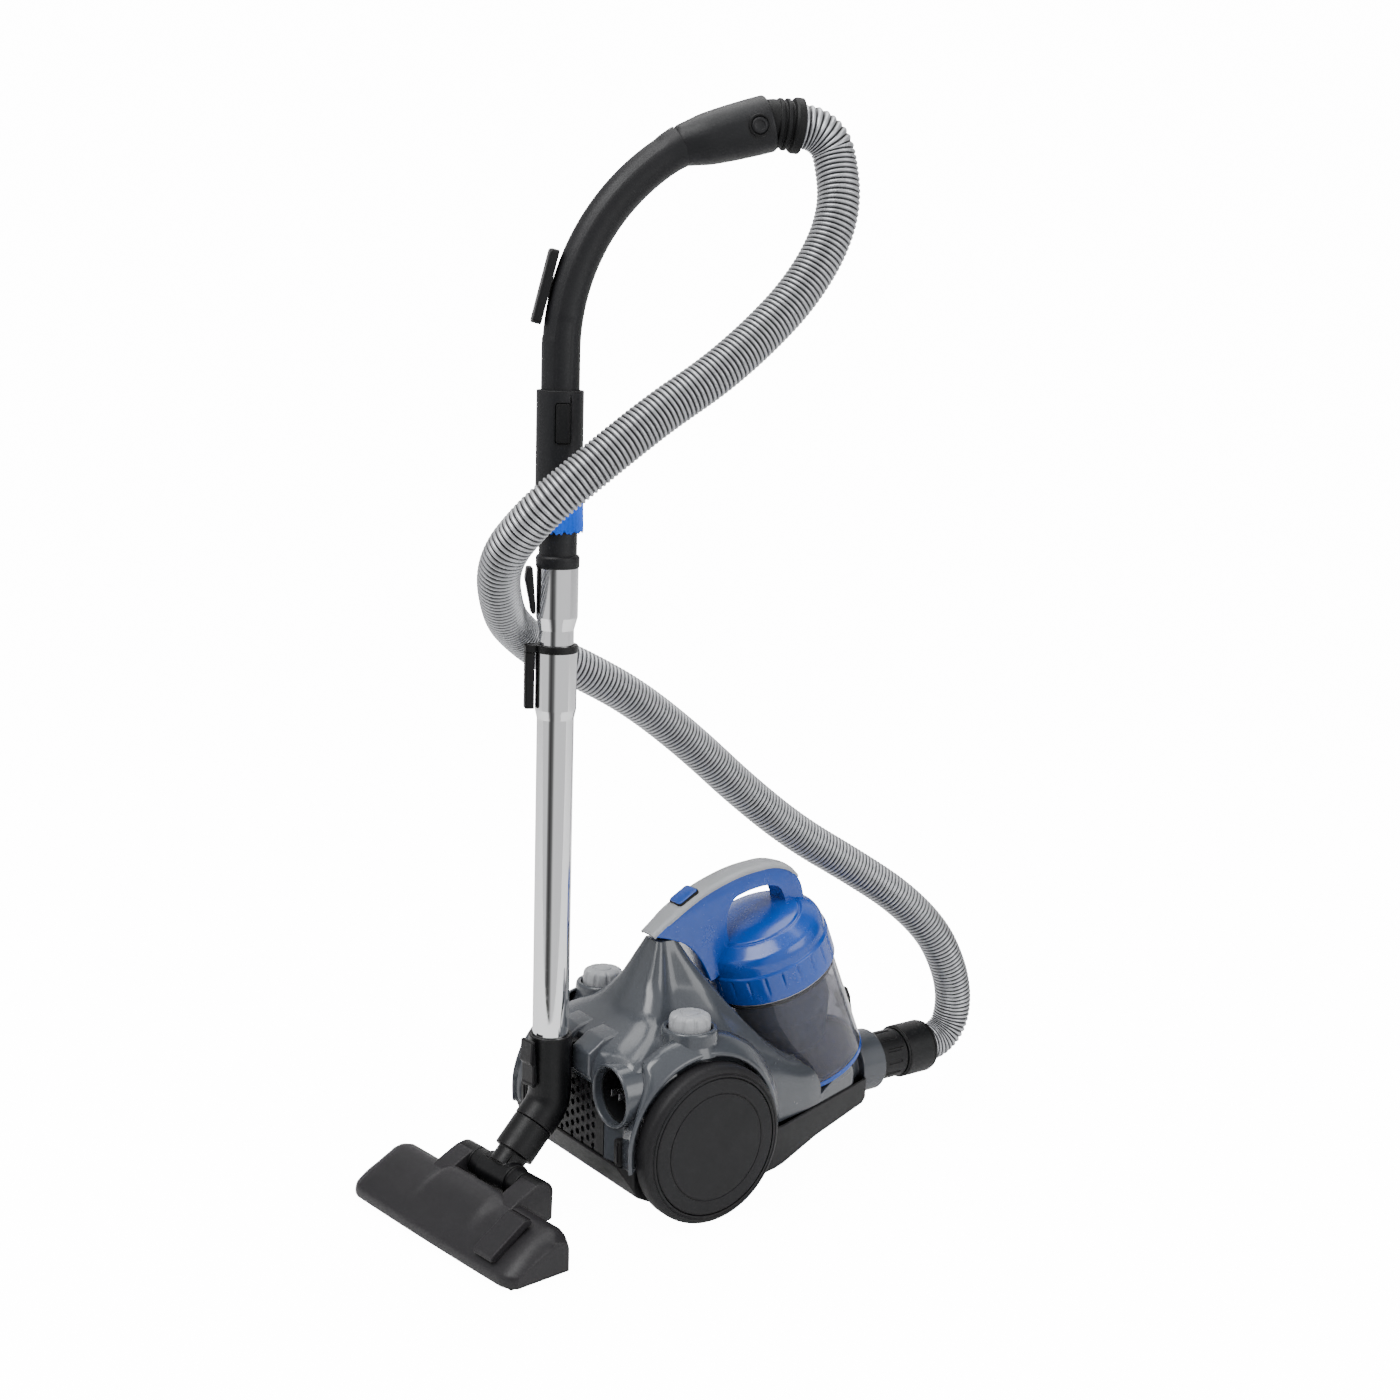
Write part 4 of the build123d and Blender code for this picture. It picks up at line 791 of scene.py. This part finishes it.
# ---------------------------------------------------------------- wheels
for name, seat in (("left", LEFT), ("right", RIGHT)):
    tyre = rounded([
        (11, 105), (11, 116), (73, 116), (73.5, 104.6), (78, 104.4), (79.5, 106), (79.5, 117.5), (78.6, 121),
        (76.2, 123.6), (73.2, 125.0), (72.6, 124.2), (71.8, 124.2), (71.2, 125.3), (69.2, 125.6),
        (68.9, 121), (11, 121), (11, 105)],
        [0, 1, 1, 1, 1, 1, 2.5, 2.5, 2, 0.5, 0.3, 0.3, 0.5, 0.4, 0, 0, 0], 4)
    wheel = turned("tyre_" + name, seat, tyre, 160)
    dress(wheel, name + "_wheel", wheel_charcoal, ["wheel_" + name], 35)
    cap = rounded([
        (0, 121.2), (68.4, 121.2), (68.4, 124.8), (67.4, 125.7), (54.1, 126.3), (53.8, 125.6),
        (53.1, 125.6), (52.8, 126.4),
        (30, 126.9), (0, 127)], [0, 0.2, 0.8, 0.8, 0.3, 0.2, 0.2, 0.3, 8, 0], 4)
    hub = turned("wheel_face_" + name, seat, cap, 160)
    dress(hub, name + "_wheel", wheel_charcoal, ["hub_cap_" + name], 35)

# ---------------------------------------------------------------- dust cup
lid_line = rounded([
    (60, 121.5), (67.2, 121.5), (67.2, 118.3), (69.4, 118.1), (69.5, 128), (69.5, 148.6), (67.6, 150.4),
    (67.2, 160), (64.6, 167.4),
    (50.5, 177.4), (49.3, 176.4), (47.8, 176.8), (46.6, 178.8), (30, 183.6), (0, 185.5)],
    [0, 0, 0.4, 0.8, 2, 1.0, 0.8, 3, 2.5, 1, 0.5, 0.5, 1, 8, 0], 4)
fine = [lid_line[:1]]
for a, b in zip(lid_line, lid_line[1:]):
    pieces_between = max(1, int(np.linalg.norm(b - a) / 2.0))
    fine.append(a + (b - a) * np.linspace(0, 1, pieces_between + 1)[1:, None])
lid_line = np.vstack(fine)


def lid_notches(r, h, a):
    """Twenty-four upright notches in the skirt: depth fades at both ends of the height 126 to 147."""
    turn = (a * 24 / (2 * math.pi)) % 1.0 - 0.5
    groove = np.exp(-((turn * 18.2 / 1.15) ** 2))
    band = np.clip((h - 125) / 5, 0, 1) * np.clip((147.6 - h) / 1.5, 0, 1) * (r > 66)
    return r - (0.5 + 1.1 * np.clip((h - 126) / 20, 0, 1)) * groove * band


lid = turned("lid", CUP, lid_line, 480, lid_notches)
dress(lid, "cup", blue_plastic, ["cup_lid"], 40)
loop_line = rounded([
    (3, 256.5), (28, 275.5), (62, 293.5), (105, 306.5), (146, 309.5), (168, 303), (182, 290), (187, 276),
    (189, 262),
    (186, 250), (172, 248), (166, 262), (163, 276), (156, 287), (140, 291), (118, 289), (96, 283), (89, 268),
    (88, 252), (94, 232), (84, 204), (72, 198), (60, 222), (42, 243), (16, 253)],
    [1, 20, 30, 40, 20, 14, 10, 14, 10, 2, 2, 14, 10, 8, 20, 20, 8, 10, 14, 10, 3, 4, 20, 14, 3], 6, True)
loop = pressed("carry_loop", SIDE, loop_line, -13, 13, 1.2, 3)
dress(loop, "cup", blue_plastic, ["carry_handle"], 35)

# Grey cover: a crowned strip carried along the handle's top line.
spine = rounded([(1, 257), (28, 277), (62, 295), (105, 308), (146, 311), (168, 304.5), (180, 293)], 26, 10)
tangent = np.gradient(spine, axis=0)
tangent /= np.linalg.norm(tangent, axis=1)[:, None]
normal = np.column_stack([-tangent[:, 1], tangent[:, 0]])
part = np.linspace(0, 1, len(spine))
half_width = 14.4 - 2.4 * np.clip(1 - part / 0.12, 0, 1) ** 2 - 2.2 * np.clip((part - 0.9) / 0.1, 0, 1) ** 2
section = rounded([(-1, -2.6), (-1, 0.2), (-0.72, 2.6), (0, 3.8), (0.72, 2.6), (1, 0.2), (1, -2.6),
                   (0.86, -2.6), (0.8, -0.6),
                   (-0.8, -0.6), (-0.86, -2.6)], [0.3, 0.6, 0.5, 1.0, 0.5, 0.6, 0.3, 0.05, 0.2, 0.2, 0.05],
                   3, True)
rings = np.empty((len(spine), len(section), 3))
rings[..., 0] = spine[:, None, 0] + normal[:, None, 0] * section[None, :, 1]
rings[..., 2] = spine[:, None, 1] + normal[:, None, 1] * section[None, :, 1]
rings[..., 1] = half_width[:, None] * section[None, :, 0]
cover = lofted("handle_cover_strip", rings)
dress(cover, "cup", knob_grey, ["handle_cover"], 50)
BUTTON_SEAT = Seat((45, 0, 288), (0.872, 0, 0.49), (-0.49, 0, 0.872))
# The near-black box is a little larger than the pad, so a dark rim shows round it: painted shadow in the gap
# round the button.
gap = pressed("release_gap_shadow", BUTTON_SEAT, box_line((0, 0), (26.4, 20.4), 3.8), 0, 3.3, 0.2)
dress(gap, "cup", groove_black)
release = pressed("release_pad", BUTTON_SEAT, box_line((0, 0), (24.8, 18.8), 3.4), 0.5, 5.0, 1.4, 4)
dress(release, "cup_release", blue_plastic, ["cup_button"], 50)
softened("bottom_door", "cup_door", blue_plastic, 0.8)

# ---------------------------------------------------------------- handle
arc = np.linspace(0, BEND, 90)
straight = np.column_stack([np.zeros(90), np.linspace(629.4, BEND_HEIGHT, 90, endpoint=False)])
bent = np.column_stack([BEND_RADIUS - BEND_RADIUS * np.cos(arc), BEND_HEIGHT + BEND_RADIUS * np.sin(arc)])
grip_line = np.vstack([straight, bent])
grip_dir = np.gradient(grip_line, axis=0)
grip_dir /= np.linalg.norm(grip_dir, axis=1)[:, None]
grip_out = np.column_stack([-grip_dir[:, 1], grip_dir[:, 0]])
angle = np.linspace(0, 2 * math.pi, 112, endpoint=False)
step = np.concatenate([[0], np.cumsum(np.linalg.norm(np.diff(grip_line, axis=0), axis=1))])


def panel(s0, s1, a0, a1, soft=1.2):
    """1 in a patch of the handle, s0 to s1 along it and a0 to a1 round it, fading over soft millimetres."""
    along = np.clip(np.minimum(step - s0, s1 - step) / soft, 0, 1)
    round_it = np.degrees(angle)
    middle, half = (a0 + a1) / 2, (a1 - a0) / 2
    off = np.abs((round_it - middle + 180) % 360 - 180)
    across_it = np.clip((half - off) * math.radians(1) * 17.75 / soft, 0, 1)
    return along[:, None] * across_it[None, :]


# Angle 0 points to the outside of the bend, 90 to the handle's right-hand side.
inset = panel(208, 404, -62, 62, 1.0)
thumb = np.maximum(panel(150, 226, 66, 116), panel(150, 226, 244, 294))
radius = 17.75 - 0.7 * inset - 0.6 * thumb - 0.5 * panel(92, 128, -30, 30)
swell = 0.9 * np.exp(-(((step - step[-1]) / 10.0) ** 2))
radius = radius + swell[:, None]
out3 = WAND.at(np.column_stack([grip_out[:, 0], np.zeros(180), grip_out[:, 1]])) - WAND.o
mid3 = WAND.at(np.column_stack([grip_line[:, 0], np.zeros(180), grip_line[:, 1]]))
ring = out3[:, None, :] * np.cos(angle)[None, :, None] - WAND.y[None, None, :] * np.sin(angle)[None, :, None]
handle = lofted("curved_handle", mid3[:, None, :] + ring * radius[..., None])
dress(handle, "upper_wand", handle_dark, (), 45)
barrel_line = rounded([
    (0, -6), (15, -5), (18.4, -1), (20.2, 9), (22.9, 22), (24.6, 44), (25.5, 70), (25.5, 81.4), (24.2, 83),
    (20, 83), (0, 83)],
    [0, 2, 3, 5, 6, 10, 8, 1.2, 0.8, 0, 0], 5)
barrel = turned("handle_barrel", BARREL, barrel_line, 112)
dress(barrel, "upper_wand", handle_dark, ["handle_tube"], 40)
base = turned("handle_base", WAND, rounded(
    [(17, 628), (20.2, 629.4), (20.4, 638.6), (19.2, 640.6), (17.6, 641)], [0, 0.6, 1.0, 0.8, 0], 4))
dress(base, "upper_wand", handle_dark)
HOSE_BUTTON = Seat(BARREL.at([0, 0, 68]), BARREL.z, -WAND.y)
bezel = turned("button_bezel", HOSE_BUTTON, rounded(
    [(7.9, 20), (7.9, 25.6), (8.6, 26.3), (10.0, 26.0), (10.6, 24.0)], 0.4, 3), 64)
dress(bezel, "upper_wand", groove_black)
push = turned("hose_push", HOSE_BUTTON, rounded(
    [(0, 20), (7.3, 20), (7.3, 26.0), (6.4, 27.0), (4.8, 27.1), (3.6, 26.5), (0, 26.3)], 0.6, 4), 64)
dress(push, "hose_release", handle_dark, ["hose_button"], 50)
softened("hose_collar", "upper_wand", groove_black, 0.5)
softened("airflow_slider", "airflow", fitting_dark, 0.8)
softened("brush_sleeve", "dusting_brush", handle_dark, 0.8)
softened("brush_button", "brush_release", groove_black, 0.6)

# Dusting brush: three staggered rings of tapered tufts round the tube.
tufts = []
for ring_number, (reach, count) in enumerate(((19.4, 120), (20.6, 132), (21.8, 144))):
    spins = (np.arange(count) + 0.37 * ring_number) * 2 * math.pi / count
    wobble = np.sin(spins * 37 + ring_number) * 0.5
    tip = 663.2 + 1.2 * np.sin(spins * 13 + ring_number) + 0.8 * np.sin(spins * 29)
    for half, z in ((0.62, 694.2 + 0 * tip), (0.40, tip)):
        corners = np.array([(1, 0), (0, 1), (-1, 0), (0, -1)]) * half
        grow = reach + (0 if half > 0.5 else 0.9) + wobble * 0.3
        radial = np.column_stack([np.cos(spins), np.sin(spins)])
        tangent2 = np.column_stack([-np.sin(spins), np.cos(spins)])
        flat = (radial * grow[:, None])[:, None, :] + radial[:, None, :] * corners[None, :,
            :1] + tangent2[:, None, :] * corners[None, :, 1:]
        tufts.append((ring_number, np.concatenate([flat, np.broadcast_to(z[:, None, None], (count, 4, 1))],
            -1)))
points, faces, start = [], [], 0
for top_ring, tip_ring in zip(tufts[::2], tufts[1::2]):
    count = len(top_ring[1])
    block = np.concatenate([top_ring[1], tip_ring[1]], axis=1)
    points.append(block.reshape(-1, 3))
    first = start + np.arange(count)[:, None] * 8
    for quad in ((0, 1, 5, 4), (1, 2, 6, 5), (2, 3, 7, 6), (3, 0, 4, 7), (7, 4, 5, 6), (0, 3, 2, 1)):
        faces += (first + np.array(quad)).tolist()
    start += count * 8
bristles = mesh_object("bristle_tufts", row(WAND.at(np.vstack(points))), faces)
tidy(bristles, 1e-7)
dress(bristles, "dusting_brush", bristle_blue, ["brush_bristles"], 60)

# ---------------------------------------------------------------- wand fittings and floor head
for node, width in (("telescope_collar", 0.7), ("telescope_slider", 0.6), ("tube_latch", 1.4),
                    ("elbow", 0.8),
                    ("elbow_latch", 1.2), ("neck", 1.0), ("swivel_collar", 0.6), ("hose_cuff", 1.0),
                    ("inlet_port", 1.6),
                    ("foot_pedal", 0.9), ("lower_shell", 1.6), ("caster_fork", 1.0)):
    softened(node, body_of_node[node], finishes[slot_of_node[node]], width)

# Head shell: side-view outlines carried across the head. The middle is humped for the neck and
# both ends are drawn in.
across_head = np.concatenate([[-132, -131.2, -129, -124, -117], np.linspace(-110, 110, 56),
                              [117, 124, 129, 131.2, 132]])
hump = np.clip((52 - np.abs(across_head)) / 16, 0, 1)
hump = hump * hump * (3 - 2 * hump)
ends = np.clip((np.abs(across_head) - 117) / 15, 0, 1) ** 2
outlines = []
for v, raise_by, pull in zip(across_head, hump, ends):
    front = 146 - 9 * pull - 1.5 * (v / 132) ** 2
    rear = 72 + 5 * pull
    top = 45 - 8 * pull
    corners = [
        (rear, 4), (rear, 30 - 2 * pull), (rear + 5, top - 3 + 4 * raise_by),
        (rear + 17, top + 5 * raise_by),
        (front - 38, top - 6 + 5 * raise_by), (front - 13, 25 - 3 * pull), (front - 1, 15 - pull),
        (front, 9), (front - 1, 4),
    ]
    line = rounded(corners, [1, 5, 5, 10, 14, 10, 4, 3, 1], 5, True)
    outlines.append(HEAD.at(np.column_stack([line[:, 0], np.full(len(line), v), line[:, 1]])))
head = lofted("head_top", outlines)
neck_gap = [HEAD.at([(30, -37.5, z), (82, -37.5, z), (82, 37.5, z), (30, 37.5, z)]) for z in (-5, 70)]
head = cut(head, [lofted("cutter", neck_gap)])
# The underside is taken off and the skin given a wall, so the suction mouth is open.
opened = bmesh.new()
opened.from_mesh(head.data)
under = [f for f in opened.faces if f.normal.z < -0.9 and f.calc_center_median().z < 0.0045]
bmesh.ops.delete(opened, geom=under, context="FACES")
opened.to_mesh(head.data)
opened.free()
skin = head.modifiers.new("wall", "SOLIDIFY")
skin.thickness = 0.0025
skin.offset = -1
bevelled(head, 0.8, 2, 45)
dress(head, "floor_head", head_charcoal, ["head_shell"], 40)
seal_band = turned("seal_band", CUP, [(64.2, 110.5), (65.6, 110.8), (65.6, 116), (60, 116)], 128)
dress(seal_band, "cup", seal_rubber)
pale_ring = turned("bin_rim", CUP,
                   rounded([(65, 116), (67.4, 116.2), (67.6, 118.6), (66, 118.8), (60, 118.8)], 0.3, 3), 128)
dress(pale_ring, "cup", knob_grey)
HEAD_SIDE = Seat(HEAD.o, HEAD.x, -HEAD.y)
arm_line = rounded([(44, 19), (90, 19), (98, 40), (86, 48), (62, 58.8), (50, 58.2), (43.2, 47)],
                   [3, 2, 4, 10, 6, 6, 8], 5, True)
for side_name, low, high in (("right", -64, -38.6), ("left", 38.6, 64)):
    arm = pressed("head_arm_" + side_name, HEAD_SIDE, arm_line, low, high, 1.6, 3)
    dress(arm, "floor_head", head_charcoal, (), 40)
HINGE = Seat(HEAD.at([56, 0, 46]), HEAD.x, HEAD.y)
for side_name, low, high in (("right", 36.6, 63), ("left", -63, -36.6)):
    end_cap = turned("pivot_cap_" + side_name, HINGE, rounded([
        (0, low), (13.6, low), (13.6, high), (0, high)], [0, 1.6, 1.6, 0], 4), 72)
    dress(end_cap, "floor_head", fitting_dark, (), 50)
